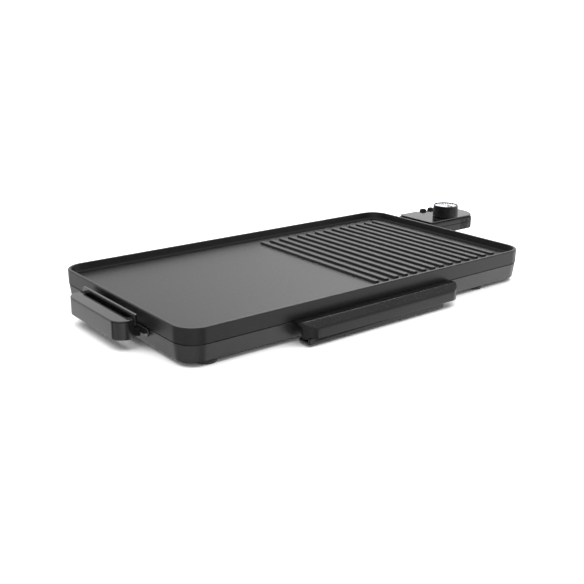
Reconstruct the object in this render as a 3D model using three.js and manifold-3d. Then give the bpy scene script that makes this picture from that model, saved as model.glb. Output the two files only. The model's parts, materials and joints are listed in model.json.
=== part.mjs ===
// An electric griddle: a cast cooking plate, half flat and half ribbed, on a low base,
// with a drip tray that pulls out at the front, a bar handle at the left end and a
// plug-in temperature control at the right end.
// Millimetres. +Z is up, +X points to the control, -Y points to the drip tray.

import * as THREE from "three";
import { mergeVertices } from "three/addons/utils/BufferGeometryUtils.js";
import Module from "manifold-3d";

const wasm = await Module();
wasm.setup();

// ---- Driving dimensions -------------------------------------------------------------
// Heights are above the table. Plan positions are from the middle of the plate.

const GAP = 0.4; // clearance between pieces that touch
const SMALL_GAP = 0.3; // the same inside a moulding
const SCREW_HOLE = 1.9; // radius of a hole that a screw's shank passes through

// Cooking plate
const PLATE_X = 245;
const PLATE_Y = 134;
const PLATE_CORNER = 24;
const RIM_TOP = 40;
const SKIRT_BOTTOM = 23.8;
const SURFACE = 30.5;
const FLOOR_UNDER = 26;
const PLATE_WALL = 3.8;
const RIB_COUNT = 14;
const RIB_FIRST_X = 19.5;
const RIB_PITCH = 15.2;
const RIB_WIDTH = 7.6;
const RIB_HEIGHT = 2.8;
const RIB_END_Y = 109;
const DRAIN_X = -6;
const DRAIN_Y = -121;
const DRAIN_LENGTH = 30;
const DRAIN_WIDTH = 8;
const SPOUT_BOTTOM = 17.8;

// Fixing points that hold the plate to the base, near the four corners
const POST_X = 228;
const POST_Y = 104;
const POST_SHOULDER = 16.1;
const POST_TOP = 19.7;

// Base
const BASE_X = 244.6;
const BASE_Y = 133.6;
const BASE_BOTTOM = 4;
const BASE_TOP = 23.4;
const BASE_WALL = 2.6;
const BASE_FLOOR = 2;
const FOOT_LEFT_X = -214;
const FOOT_RIGHT_X = 168;
const FOOT_Y = 119;
const FOOT_RADIUS = 11;

// Heating element and reflector
const ELEMENT_RADIUS = 3.25;
const ELEMENT_Z = 22.45;
const ELEMENT_END_X = 234;
const ELEMENT_FAR_X = 205;
const ELEMENT_OUTER_Y = 96;
const ELEMENT_INNER_Y = 31;
const ELEMENT_SIDE_X = 196;
const ELEMENT_BACK_Y = 104;
const ELEMENT_BEND = 12.5;
const REFLECTOR_BOTTOM = 16.4;
const REFLECTOR_TOP = 17.2;

// Drip tray, across X between its two sides, pulled towards -Y
const TRAY_LEFT = -99;
const TRAY_RIGHT = 87;
const TRAY_FRONT = -134;
const TRAY_BACK = 52;
const TRAY_BOTTOM = 6.6;
const TRAY_RIM = 14.2;
const TRAY_WALL = 1.2;
const TRAY_FLANGE = 3.5;
const PULL_LEFT = -121;
const PULL_RIGHT = 108;
const PULL_FRONT = -156.4;
const PULL_BACK = -134.4;
const PULL_LOW = 7.8;
const PULL_TOP = 24.8;
const PULL_WALL = 2;
const PULL_CORNER = 19;
const END_OPENING_TOP = 15.5;
const LIP_BOTTOM = 2.8;
const LIP_THICK = 2.4;

// Bar handle at the left end
const BAR_OUTER_X = -272.8;
const BAR_INNER_X = -257;
const BAR_FRONT = -54.5;
const BAR_BACK = 59;
const BAR_BOTTOM = 11.4;
const BAR_TOP = 31.3;
const BAR_CORNER = 13;
const COVER_THICK = 1.4;
const ARM_WIDTH = 10;
const ARM_BOTTOM = 13;
const ARM_TOP = 23.4;
const SHIELD_X = -253.4;
const SHIELD_THICK = 2.9;
const SHIELD_FRONT = -55;
const SHIELD_BACK = 59.4;
const SHIELD_TOP = 36.4;
const FLANGE_Y = 69;
const FLANGE_BOTTOM = 15.6;
const FLANGE_THICK = 2.2;

// Plug-in temperature control at the right end
const CONTROL_X = 252.6;
const CONTROL_FRONT = 29.5;
const CONTROL_BACK = 93.5;
const CONTROL_Y = (CONTROL_FRONT + CONTROL_BACK) / 2;
const CONTROL_BOTTOM = 20;
const CONTROL_SPLIT = 30.6;
const CONTROL_DECK = 37.7;
const CONTROL_TOP = 40;
const CONTROL_WALL = 2;
const END_ARC_X = 313.5;
const END_ARC_RADIUS = 40;
const PIN_SPREAD = 17;
const PIN_RADIUS = 1.75;
const PIN_TIP_X = 262;
const PROBE_Z = 21.6;
const PROBE_RADIUS = 2.4;
const PROBE_CLEARANCE = 0.6;
const PROBE_TIP_X = 170;
const NOSE_X = 244.4;
const NOSE_HALF_WIDTH = 24;
const NOSE_BOTTOM = 17.4;
const NOSE_TOP = 26.2;
const NOSE_BACK = 268;
const KNOB_X = 300;
const KNOB_Y = 46.6;
const KNOB_RADIUS = 17.6;
const KNOB_TOP = CONTROL_TOP + 16.6;
const LENS_X = 322;
const LENS_Y = 70;
const LEVER_X0 = 289;
const LEVER_X1 = 326;
const LEVER_Y = 80;
const LEVER_PIN_Z = 33.6;
const RIDGES = [[294.5, 303], [311, 318.5]]; // along X, on the lever
const RIDGE_TOP = 43.2;
const INLET_X = 270;
const INLET_Z = 27;

// ---- Materials ----------------------------------------------------------------------

function finish(color, roughness, metalness = 0) {
  return new THREE.MeshStandardMaterial({ color, roughness, metalness });
}

const castCoated = finish(0x3a3a3b, 0.42, 0.2);
const satinPlastic = finish(0x1c1c1e, 0.45);
const glossPlastic = finish(0x0c0c0d, 0.12);
const rubber = finish(0x141414, 0.85);
const steel = finish(0xb4b6b8, 0.35, 1);
const sheathSteel = finish(0x4c4a46, 0.5, 0.9);
const aluminium = finish(0xc2c4c6, 0.4, 1);
const brass = finish(0xb8964a, 0.35, 1);
const ceramic = finish(0xe6e0d2, 0.7);
const phenolic = finish(0x241c18, 0.6);
const silver = finish(0xd2d4d6, 0.25, 0.9);
const lampRed = finish(0xb3231c, 0.2);

// ---- Solids -------------------------------------------------------------------------

// A closed three.js geometry as a solid that can be joined and cut.
function solidOf(geometry) {
  const bare = geometry.clone();
  bare.deleteAttribute("normal");
  bare.deleteAttribute("uv");
  const merged = mergeVertices(bare, 1e-4);
  const corners = merged.index.array;
  const triVerts = [];
  for (let i = 0; i < corners.length; i += 3) {
    const [a, b, c] = corners.slice(i, i + 3);
    if (a !== b && b !== c && c !== a) triVerts.push(a, b, c);
  }
  return new wasm.Manifold(new wasm.Mesh({
    numProp: 3,
    vertProperties: new Float32Array(merged.attributes.position.array),
    triVerts: new Uint32Array(triVerts),
  }));
}

function geometryOf(solid) {
  const mesh = solid.getMesh();
  const geometry = new THREE.BufferGeometry();
  geometry.setAttribute("position", new THREE.BufferAttribute(mesh.vertProperties, 3));
  geometry.setIndex(new THREE.BufferAttribute(mesh.triVerts, 1));
  return geometry;
}

function join(...solids) {
  return solids.reduce((whole, next) => whole.add(next));
}

function cut(solid, ...tools) {
  return tools.reduce((rest, tool) => rest.subtract(tool), solid);
}

function block(x0, x1, y0, y1, z0, z1) {
  const geometry = new THREE.BoxGeometry(x1 - x0, y1 - y0, z1 - z0);
  geometry.translate((x0 + x1) / 2, (y0 + y1) / 2, (z0 + z1) / 2);
  return solidOf(geometry);
}

// A plan outline raised from z0 to z1.
function slab(outline, z0, z1, curveSegments = 3) {
  const settings = { depth: z1 - z0, bevelEnabled: false, curveSegments };
  const geometry = new THREE.ExtrudeGeometry(outline, settings);
  geometry.translate(0, 0, z0);
  return solidOf(geometry);
}

function roundedOutline(x0, x1, y0, y1, radius) {
  const outline = new THREE.Shape();
  outline.absarc(x1 - radius, y1 - radius, radius, 0, Math.PI / 2);
  outline.absarc(x0 + radius, y1 - radius, radius, Math.PI / 2, Math.PI);
  outline.absarc(x0 + radius, y0 + radius, radius, Math.PI, 1.5 * Math.PI);
  outline.absarc(x1 - radius, y0 + radius, radius, 1.5 * Math.PI, 2 * Math.PI);
  return outline;
}

// A section given as [y, z] points, carried along X from x0 to x1.
function barAlongX(section, x0, x1) {
  const outline = new THREE.Shape(section.map(([y, z]) => new THREE.Vector2(y, z)));
  const settings = { depth: x1 - x0, bevelEnabled: false };
  const geometry = new THREE.ExtrudeGeometry(outline, settings);
  const turn = new THREE.Matrix4().makeBasis(
    new THREE.Vector3(0, 1, 0), new THREE.Vector3(0, 0, 1), new THREE.Vector3(1, 0, 0));
  geometry.applyMatrix4(turn);
  geometry.translate(x0, 0, 0);
  return solidOf(geometry);
}

function pegZ(x, y, radius, z0, z1, sides = 12) {
  const geometry = new THREE.CylinderGeometry(radius, radius, z1 - z0, sides);
  geometry.rotateX(Math.PI / 2);
  geometry.translate(x, y, (z0 + z1) / 2);
  return solidOf(geometry);
}

function pegX(y, z, radius, x0, x1, sides = 12) {
  const geometry = new THREE.CylinderGeometry(radius, radius, x1 - x0, sides);
  geometry.rotateZ(Math.PI / 2);
  geometry.translate((x0 + x1) / 2, y, z);
  return solidOf(geometry);
}

function pegY(x, z, radius, y0, y1, sides = 12) {
  const geometry = new THREE.CylinderGeometry(radius, radius, y1 - y0, sides);
  geometry.translate(x, (y0 + y1) / 2, z);
  return solidOf(geometry);
}

// A round piece turned about the vertical line through x, y, from [radius, z] points.
function turned(x, y, profile, sides = 24) {
  const points = profile.map(([radius, z]) => new THREE.Vector2(radius, z));
  const geometry = new THREE.LatheGeometry(points, sides);
  geometry.rotateX(Math.PI / 2);
  geometry.translate(x, y, 0);
  return solidOf(geometry);
}

const root = new THREE.Group();

function place(name, solid, material, parent) {
  const mesh = new THREE.Mesh(geometryOf(solid), material);
  mesh.name = name;
  parent.add(mesh);
}

// Calls make(name, x, y) for the four corners of a rectangle around the plate's middle.
function eachCorner(x, y, make) {
  for (const [depth, sy] of [["front", -1], ["rear", 1]]) {
    for (const [side, sx] of [["left", -1], ["right", 1]]) {
      make(`${depth}_${side}`, sx * x, sy * y);
    }
  }
}

// ---- Cooking plate --------------------------------------------------------------------

// One raised rib, round at both ends, with a bevelled top.
function rib(x) {
  const bevel = 1.2;
  const half = RIB_WIDTH / 2 - bevel;
  const outline = new THREE.Shape();
  outline.absarc(x, RIB_END_Y - RIB_WIDTH / 2, half, 0, Math.PI);
  outline.absarc(x, RIB_WIDTH / 2 - RIB_END_Y, half, Math.PI, 2 * Math.PI);
  const sunk = 1;
  const geometry = new THREE.ExtrudeGeometry(outline, {
    depth: RIB_HEIGHT + sunk - bevel * 2,
    bevelThickness: bevel,
    bevelSize: bevel,
    bevelSegments: 1,
    curveSegments: 3,
  });
  geometry.translate(0, 0, SURFACE - sunk + bevel);
  return solidOf(geometry);
}

function plateOutline(inset) {
  return roundedOutline(inset - PLATE_X, PLATE_X - inset, inset - PLATE_Y, PLATE_Y - inset,
    PLATE_CORNER - inset);
}

function drainBlock(margin, z0, z1) {
  const halfLength = DRAIN_LENGTH / 2 + margin;
  const halfWidth = DRAIN_WIDTH / 2 + margin;
  return block(DRAIN_X - halfLength, DRAIN_X + halfLength,
    DRAIN_Y - halfWidth, DRAIN_Y + halfWidth, z0, z1);
}

function griddlePlate() {
  let plate = slab(plateOutline(0), SKIRT_BOTTOM, RIM_TOP, 4);
  plate = cut(plate,
    slab(plateOutline(PLATE_WALL), SURFACE, RIM_TOP + 1, 4),
    slab(plateOutline(PLATE_WALL - 0.3), SKIRT_BOTTOM - 1, FLOOR_UNDER, 4));
  for (let i = 0; i < RIB_COUNT; i++) {
    plate = join(plate, rib(RIB_FIRST_X + i * RIB_PITCH));
  }
  const spoutWall = 2;
  plate = join(plate, drainBlock(spoutWall, SPOUT_BOTTOM, FLOOR_UNDER + 1));
  plate = cut(plate, drainBlock(0, SPOUT_BOTTOM - 1, SURFACE + 1));
  const bossRadius = 4.5;
  const pilotRadius = 1.75;
  eachCorner(POST_X, POST_Y, (name, x, y) => {
    plate = join(plate, pegZ(x, y, bossRadius, POST_TOP + GAP, FLOOR_UNDER + 0.5));
    plate = cut(plate, pegZ(x, y, pilotRadius, POST_TOP, FLOOR_UNDER - 0.4));
  });
  return cut(plate, socketNotch(PLATE_X - PLATE_WALL + 0.1, SKIRT_BOTTOM - 1, SOCKET_TOP + GAP));
}

// ---- Socket that the control plugs into -------------------------------------------------

const SOCKET_INNER_X = 241.7;
const SOCKET_OUTER_X = 249;
const SOCKET_BOTTOM = 14.6;
const SOCKET_TOP = 28.5;
const SOCKET_HALF_WIDTH = 28;
const SOCKET_WALL = 2;

function socketNotch(x0, z0, z1) {
  const half = SOCKET_HALF_WIDTH + GAP;
  return block(x0, PLATE_X + 1, CONTROL_Y - half, CONTROL_Y + half, z0, z1);
}

function socketCollar() {
  const half = SOCKET_HALF_WIDTH;
  const inner = half - SOCKET_WALL;
  return cut(
    block(SOCKET_INNER_X, SOCKET_OUTER_X, CONTROL_Y - half, CONTROL_Y + half,
      SOCKET_BOTTOM, SOCKET_TOP),
    block(SOCKET_INNER_X - 1, SOCKET_OUTER_X + 1, CONTROL_Y - inner, CONTROL_Y + inner,
      SOCKET_BOTTOM + SOCKET_WALL, SOCKET_TOP - SOCKET_WALL + 0.2));
}

// The ceramic plate that spaces the two pins and the probe sleeve.
function terminalInsulator() {
  const half = 26.5;
  const x0 = 236.4;
  const x1 = 240.8;
  return cut(
    block(x0, x1, CONTROL_Y - half, CONTROL_Y + half, REFLECTOR_TOP + GAP, FLOOR_UNDER - GAP),
    pegX(CONTROL_Y - PIN_SPREAD, ELEMENT_Z, PIN_RADIUS + GAP, x0 - 1, x1 + 1),
    pegX(CONTROL_Y + PIN_SPREAD, ELEMENT_Z, PIN_RADIUS + GAP, x0 - 1, x1 + 1),
    pegX(CONTROL_Y, PROBE_Z, PROBE_RADIUS + PROBE_CLEARANCE, x0 - 1, x1 + 1));
}

function terminalPin(y) {
  return pegX(y, ELEMENT_Z, PIN_RADIUS, ELEMENT_END_X + GAP, PIN_TIP_X);
}

function probeSleeve() {
  const x0 = PROBE_TIP_X - 2;
  const x1 = 236;
  const bore = PROBE_RADIUS + PROBE_CLEARANCE;
  const wall = 0.9;
  return cut(pegX(CONTROL_Y, PROBE_Z, bore + wall, x0, x1),
    pegX(CONTROL_Y, PROBE_Z, bore, x0 - 1, x1 + 1));
}

// ---- Heating element ----------------------------------------------------------------

// A path whose steps are exactly the points that it is given.
class BentPath extends THREE.Curve {
  constructor(points) {
    super();
    this.points = points;
  }

  getPointAt(u) {
    return this.points[Math.round(u * (this.points.length - 1))].clone();
  }

  getTangentAt(u) {
    const last = this.points.length - 1;
    const i = Math.round(u * last);
    const before = this.points[Math.max(i - 1, 0)];
    const after = this.points[Math.min(i + 1, last)];
    return after.clone().sub(before).normalize();
  }
}

// Rounds each inner corner of a route of [x, y] points at height z.
function roundedRoute(corners, radius, z) {
  const points = corners.map(([x, y]) => new THREE.Vector3(x, y, z));
  const route = [points[0]];
  for (let i = 1; i < points.length - 1; i++) {
    const into = points[i - 1].clone().sub(points[i]).setLength(radius);
    const out = points[i + 1].clone().sub(points[i]).setLength(radius);
    const centre = points[i].clone().add(into).add(out);
    const steps = 4;
    for (let s = 0; s <= steps; s++) {
      const angle = (s / steps) * Math.PI / 2;
      route.push(centre.clone()
        .addScaledVector(out, -Math.cos(angle))
        .addScaledVector(into, -Math.sin(angle)));
    }
  }
  route.push(points[points.length - 1]);
  return route;
}

function heatingElement() {
  const near = CONTROL_Y - PIN_SPREAD;
  const far = CONTROL_Y + PIN_SPREAD;
  const returnX = 150;
  const route = roundedRoute([
    [ELEMENT_END_X, near],
    [ELEMENT_FAR_X, near],
    [ELEMENT_FAR_X, -ELEMENT_OUTER_Y],
    [-ELEMENT_FAR_X, -ELEMENT_OUTER_Y],
    [-ELEMENT_FAR_X, -ELEMENT_INNER_Y],
    [returnX, -ELEMENT_INNER_Y],
    [returnX, ELEMENT_INNER_Y],
    [-ELEMENT_FAR_X, ELEMENT_INNER_Y],
    [-ELEMENT_FAR_X, ELEMENT_BACK_Y],
    [ELEMENT_SIDE_X, ELEMENT_BACK_Y],
    [ELEMENT_SIDE_X, far],
    [ELEMENT_END_X, far],
  ], ELEMENT_BEND, ELEMENT_Z);
  const section = new THREE.Shape();
  section.absarc(0, 0, ELEMENT_RADIUS, 0, 2 * Math.PI);
  return solidOf(new THREE.ExtrudeGeometry(section, {
    steps: route.length - 1,
    extrudePath: new BentPath(route),
    curveSegments: 4,
  }));
}

function heatReflector() {
  const x = 238;
  const y = 127;
  const corner = 17;
  const postHole = 5.2;
  const spoutMargin = 4;
  let sheet = slab(roundedOutline(-x, x, -y, y, corner), REFLECTOR_BOTTOM, REFLECTOR_TOP);
  eachCorner(POST_X, POST_Y, (name, px, py) => {
    sheet = cut(sheet, pegZ(px, py, postHole, REFLECTOR_BOTTOM - 1, REFLECTOR_TOP + 1));
  });
  return cut(sheet, drainBlock(spoutMargin, REFLECTOR_BOTTOM - 1, REFLECTOR_TOP + 1));
}

// ---- Base -----------------------------------------------------------------------------

const TRAY_MOUTH_LEFT = TRAY_LEFT - 5;
const TRAY_MOUTH_RIGHT = TRAY_RIGHT + 5;
const TRAY_MOUTH_TOP = 20.9;
const FLOOR_SLOTS_X = [-190, -160, -130, 120, 150, 180];
const FLOOR_SLOT_WIDTH = 6;
const FLOOR_SLOT_END_Y = 60;
const FOOT_PEG_RADIUS = 2.5;
const FOOT_PEG_TOP = 7.6;
const FEET = [
  ["front_left", FOOT_LEFT_X, -FOOT_Y],
  ["front_right", FOOT_RIGHT_X, -FOOT_Y],
  ["rear_left", FOOT_LEFT_X, FOOT_Y],
  ["rear_right", FOOT_RIGHT_X, FOOT_Y],
];
const ARMS = [["front", BAR_FRONT + ARM_WIDTH / 2], ["rear", BAR_BACK - ARM_WIDTH / 2]];
const HANDLE_SCREW_Z = 18.6;

function baseOutline(inset) {
  return roundedOutline(inset - BASE_X, BASE_X - inset, inset - BASE_Y, BASE_Y - inset,
    PLATE_CORNER - 0.4 - inset);
}

// Cooling slots through the base floor, beside the tray on both sides.
function floorSlots() {
  const half = FLOOR_SLOT_WIDTH / 2;
  return FLOOR_SLOTS_X.map((x) => block(x - half, x + half, -FLOOR_SLOT_END_Y, FLOOR_SLOT_END_Y,
    BASE_BOTTOM - 1, BASE_BOTTOM + BASE_FLOOR + 1));
}

function baseFrame() {
  const floorTop = BASE_BOTTOM + BASE_FLOOR;
  let base = cut(slab(baseOutline(0), BASE_BOTTOM, BASE_TOP),
    slab(baseOutline(BASE_WALL), floorTop, BASE_TOP + 1));
  const wideRadius = 6.5;
  const slimRadius = 4.6;
  const shankHole = 2.2;
  const headHole = 4.6;
  const headSeat = 8.6;
  eachCorner(POST_X, POST_Y, (name, x, y) => {
    base = join(base, pegZ(x, y, wideRadius, floorTop - 0.5, POST_SHOULDER),
      pegZ(x, y, slimRadius, POST_SHOULDER - 0.5, POST_TOP));
    base = cut(base, pegZ(x, y, shankHole, BASE_BOTTOM - 1, POST_TOP + 1),
      pegZ(x, y, headHole, BASE_BOTTOM - 1, headSeat));
  });
  for (const [, x, y] of FEET) {
    base = cut(base, pegZ(x, y, FOOT_PEG_RADIUS + GAP, BASE_BOTTOM - 1, floorTop + 1));
  }
  for (const [, y] of ARMS) {
    base = cut(base, pegX(y, HANDLE_SCREW_Z, SCREW_HOLE, -BASE_X - 1, -BASE_X + BASE_WALL + 1));
  }
  return cut(base, ...floorSlots(),
    block(TRAY_MOUTH_LEFT, TRAY_MOUTH_RIGHT, -BASE_Y - 1, -BASE_Y + BASE_WALL + 0.1,
      floorTop + 0.2, TRAY_MOUTH_TOP),
    socketNotch(BASE_X - BASE_WALL - 0.5, SOCKET_BOTTOM - GAP, BASE_TOP + 1));
}

function foot(x, y) {
  const chamfer = 1;
  const top = BASE_BOTTOM - SMALL_GAP;
  return turned(x, y, [[0, 0], [FOOT_RADIUS - chamfer, 0], [FOOT_RADIUS, chamfer],
    [FOOT_RADIUS, top], [FOOT_PEG_RADIUS, top], [FOOT_PEG_RADIUS, FOOT_PEG_TOP],
    [0, FOOT_PEG_TOP]], 16);
}

function plateScrew(x, y) {
  const head = 3.8;
  const shank = 1.3;
  const low = 6.4;
  const neck = low + 1.8;
  const tip = 25.2;
  return turned(x, y, [[0, low], [head, low], [head, neck], [shank, neck], [shank, tip - 0.6],
    [0, tip]], 12);
}

// ---- Drip tray --------------------------------------------------------------------------

const RAIL_SHEET = 0.9;
const RAIL_TOP = 15.7;
const FRONT_PLATE_Y = TRAY_FRONT - GAP;
const FRONT_PLATE_THICK = 2;
const FRONT_PLATE_BOTTOM = 6.2;
const FRONT_PLATE_TOP = 21.6;
const FRONT_PLATE_END = 10.5; // from each end of the pull
const TRAY_SCREW_Z = 11.4;
const TRAY_SCREWS = [["left", -60], ["right", 48]];

// A rail on the base floor, with a lip over the tray's edge. side is -1 left, +1 right.
function trayRail(edge, side) {
  const clearance = 1.7;
  const lip = 4.6;
  const sole = 6;
  const web = edge + side * (TRAY_FLANGE + clearance);
  const strip = (inward, outward, z0, z1) => {
    const [x0, x1] = [web - side * inward, web + side * outward].sort((a, b) => a - b);
    return block(x0, x1, TRAY_FRONT + 6, TRAY_BACK + 10, z0, z1);
  };
  const low = BASE_BOTTOM + BASE_FLOOR + SMALL_GAP;
  return join(strip(lip, RAIL_SHEET, RAIL_TOP - RAIL_SHEET, RAIL_TOP),
    strip(0, RAIL_SHEET, low, RAIL_TOP), strip(0, sole, low, low + RAIL_SHEET));
}

function dripTray() {
  const corner = 9;
  const flange = roundedOutline(TRAY_LEFT - TRAY_FLANGE, TRAY_RIGHT + TRAY_FLANGE,
    TRAY_FRONT, TRAY_BACK + TRAY_FLANGE, corner);
  const outer = roundedOutline(TRAY_LEFT, TRAY_RIGHT, TRAY_FRONT, TRAY_BACK, corner);
  const inner = roundedOutline(TRAY_LEFT + TRAY_WALL, TRAY_RIGHT - TRAY_WALL,
    TRAY_FRONT + TRAY_WALL, TRAY_BACK - TRAY_WALL, corner - TRAY_WALL);
  const rimSheet = 0.9;
  let tray = join(slab(outer, TRAY_BOTTOM, TRAY_RIM - rimSheet / 2),
    slab(flange, TRAY_RIM - rimSheet, TRAY_RIM));
  tray = cut(tray, slab(inner, TRAY_BOTTOM + TRAY_WALL, TRAY_RIM + 1));
  for (const [, x] of TRAY_SCREWS) {
    tray = cut(tray,
      pegY(x, TRAY_SCREW_Z, SCREW_HOLE, TRAY_FRONT - 1, TRAY_FRONT + TRAY_WALL + 1));
  }
  return tray;
}

function trayFrontPlate() {
  const back = FRONT_PLATE_Y - FRONT_PLATE_THICK;
  let plate = block(PULL_LEFT + FRONT_PLATE_END, PULL_RIGHT - FRONT_PLATE_END, back,
    FRONT_PLATE_Y, FRONT_PLATE_BOTTOM, FRONT_PLATE_TOP);
  for (const [, x] of TRAY_SCREWS) {
    plate = cut(plate, pegY(x, TRAY_SCREW_Z, SCREW_HOLE, back - 1, FRONT_PLATE_Y + 1));
  }
  return plate;
}

function pullOutline(inset) {
  return roundedOutline(PULL_LEFT + inset, PULL_RIGHT - inset, PULL_FRONT + inset,
    PULL_FRONT + 60, PULL_CORNER - inset);
}

// The pull: a shell with a flat top, a sloping shoulder, a tall front face with round
// corners and an opening low in each end, with a lip under it.
function trayHandle() {
  const outside = [
    [PULL_BACK, PULL_LOW], [PULL_BACK, PULL_TOP - 0.6], [PULL_FRONT + 9.9, PULL_TOP],
    [PULL_FRONT + 1.8, PULL_TOP - 4.4], [PULL_FRONT, PULL_TOP - 6.6],
    [PULL_FRONT, PULL_LOW + 1], [PULL_FRONT + 1, PULL_LOW],
  ];
  const inside = [
    [PULL_BACK + 1, -1], [PULL_BACK + 1, PULL_TOP - 2.4], [PULL_FRONT + 10.4, PULL_TOP - PULL_WALL],
    [PULL_FRONT + 3.6, PULL_TOP - 5.4], [PULL_FRONT + PULL_WALL, PULL_TOP - 7.4],
    [PULL_FRONT + PULL_WALL, -1],
  ];
  const solid = barAlongX(outside, PULL_LEFT, PULL_RIGHT);
  const hollow = barAlongX(inside, PULL_LEFT, PULL_RIGHT);
  let pull = cut(solid.intersect(slab(pullOutline(0), 0, RIM_TOP)),
    hollow.intersect(slab(pullOutline(PULL_WALL), -2, RIM_TOP)));
  for (const x of [PULL_LEFT, PULL_RIGHT]) {
    pull = cut(pull, block(x - 8, x + 8, PULL_FRONT + 9, PULL_BACK + 1, 0, END_OPENING_TOP));
  }
  const back = FRONT_PLATE_Y - FRONT_PLATE_THICK - SMALL_GAP;
  const lipLeft = PULL_LEFT + 5;
  const lipRight = PULL_RIGHT - 30;
  const lipFront = PULL_FRONT + PULL_WALL - 0.2;
  pull = join(pull,
    block(lipLeft, lipRight, lipFront, back, LIP_BOTTOM, LIP_BOTTOM + LIP_THICK),
    block(lipLeft, lipRight, lipFront, lipFront + LIP_THICK, LIP_BOTTOM, PULL_LOW + 1));
  const bossRadius = 3.6;
  const pilotRadius = 1.6;
  for (const [, x] of TRAY_SCREWS) {
    pull = join(pull, pegY(x, TRAY_SCREW_Z, bossRadius, PULL_FRONT + PULL_WALL - 0.4, back));
    pull = cut(pull, pegY(x, TRAY_SCREW_Z, pilotRadius, PULL_FRONT + 6.4, back + 1));
  }
  return pull;
}

function trayScrew(x) {
  const inside = TRAY_FRONT + TRAY_WALL + SMALL_GAP;
  const head = 3.1;
  const shank = 1.2;
  return join(pegY(x, TRAY_SCREW_Z, head, inside, inside + 1.8),
    pegY(x, TRAY_SCREW_Z, shank, PULL_FRONT + 7.4, inside + 0.5));
}

// ---- Left handle ------------------------------------------------------------------------

// The bar in plan: square at the inner side, round at the two outer corners.
function barOutline(inset) {
  const x0 = BAR_OUTER_X + inset;
  const x1 = BAR_INNER_X - inset;
  const y0 = BAR_FRONT + inset;
  const y1 = BAR_BACK - inset;
  const radius = BAR_CORNER - inset;
  const outline = new THREE.Shape();
  outline.moveTo(x1, y0);
  outline.lineTo(x1, y1);
  outline.absarc(x0 + radius, y1 - radius, radius, Math.PI / 2, Math.PI);
  outline.absarc(x0 + radius, y0 + radius, radius, Math.PI, 1.5 * Math.PI);
  return outline;
}

// The two shoulders that carry the bar's ends on to the shield.
function barShoulders(z0, z1) {
  return join(...ARMS.map(([, y]) => block(BAR_INNER_X - 0.5, SHIELD_X - SMALL_GAP,
    y - ARM_WIDTH / 2, y + ARM_WIDTH / 2, z0, z1)));
}

function handleGrip() {
  const top = BAR_TOP - COVER_THICK - SMALL_GAP;
  const wall = 2.6;
  let grip = slab(barOutline(0), BAR_BOTTOM, top);
  grip = cut(grip, slab(barOutline(wall), BAR_BOTTOM - 1, top - wall));
  grip = join(grip, barShoulders(ARM_TOP - 1, top));
  const flangeFace = -BASE_X - GAP - FLANGE_THICK;
  for (const [, y] of ARMS) {
    grip = join(grip, block(BAR_INNER_X - 0.5, flangeFace - SMALL_GAP, y - ARM_WIDTH / 2,
      y + ARM_WIDTH / 2, ARM_BOTTOM, ARM_TOP));
    grip = cut(grip, pegX(y, HANDLE_SCREW_Z, SCREW_HOLE, BAR_INNER_X - 0.8, flangeFace + 1));
  }
  return grip;
}

function handleTopCover() {
  const low = BAR_TOP - COVER_THICK;
  return join(slab(barOutline(0), low, BAR_TOP), barShoulders(low, BAR_TOP));
}

function handleShield() {
  return block(SHIELD_X, SHIELD_X + SHIELD_THICK, SHIELD_FRONT, SHIELD_BACK,
    ARM_TOP + SMALL_GAP, SHIELD_TOP);
}

function handleFlange() {
  const x1 = -BASE_X - GAP;
  let flange = block(x1 - FLANGE_THICK, x1, -FLANGE_Y, FLANGE_Y, FLANGE_BOTTOM, BASE_TOP);
  for (const [, y] of ARMS) {
    flange = cut(flange, pegX(y, HANDLE_SCREW_Z, SCREW_HOLE, x1 - FLANGE_THICK - 1, x1 + 1));
  }
  return flange;
}

function handleScrew(y) {
  const wallInside = -BASE_X + BASE_WALL + SMALL_GAP;
  const head = 3.4;
  const shank = 1.4;
  return join(pegX(y, HANDLE_SCREW_Z, head, wallInside, wallInside + 2),
    pegX(y, HANDLE_SCREW_Z, shank, BAR_INNER_X - 0.4, wallInside + 0.5));
}

// ---- Temperature control ------------------------------------------------------------------

// The control in plan: square towards the plate, with a bowed outer end.
function controlOutline(inset) {
  const radius = END_ARC_RADIUS - inset;
  const half = CONTROL_BACK - CONTROL_Y - inset;
  const angle = Math.asin(half / radius);
  const outline = new THREE.Shape();
  outline.moveTo(CONTROL_X + inset, CONTROL_Y + half);
  outline.lineTo(CONTROL_X + inset, CONTROL_Y - half);
  outline.absarc(END_ARC_X, CONTROL_Y, radius, -angle, angle);
  return outline;
}

const HOUSING_SCREWS = [["front", 279, 37.5], ["rear", 281, 83], ["outer", 331, 56]];
const DECK_UNDER = CONTROL_DECK - 1.5;
const SHAFT_HOLE = 3.6;
const LENS_RADIUS = 3;
const LENS_HOLE = LENS_RADIUS + GAP;
const INLET_RADIUS = 4;
const NOTCH_FLOOR = 32.4;

function inletHole() {
  return pegY(INLET_X, INLET_Z, INLET_RADIUS + GAP, CONTROL_BACK - 4, CONTROL_BACK + 1);
}

function leverNotch(z0, z1) {
  return block(LEVER_X0, LEVER_X1, LEVER_Y, CONTROL_BACK + 1, z0, z1);
}

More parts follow.
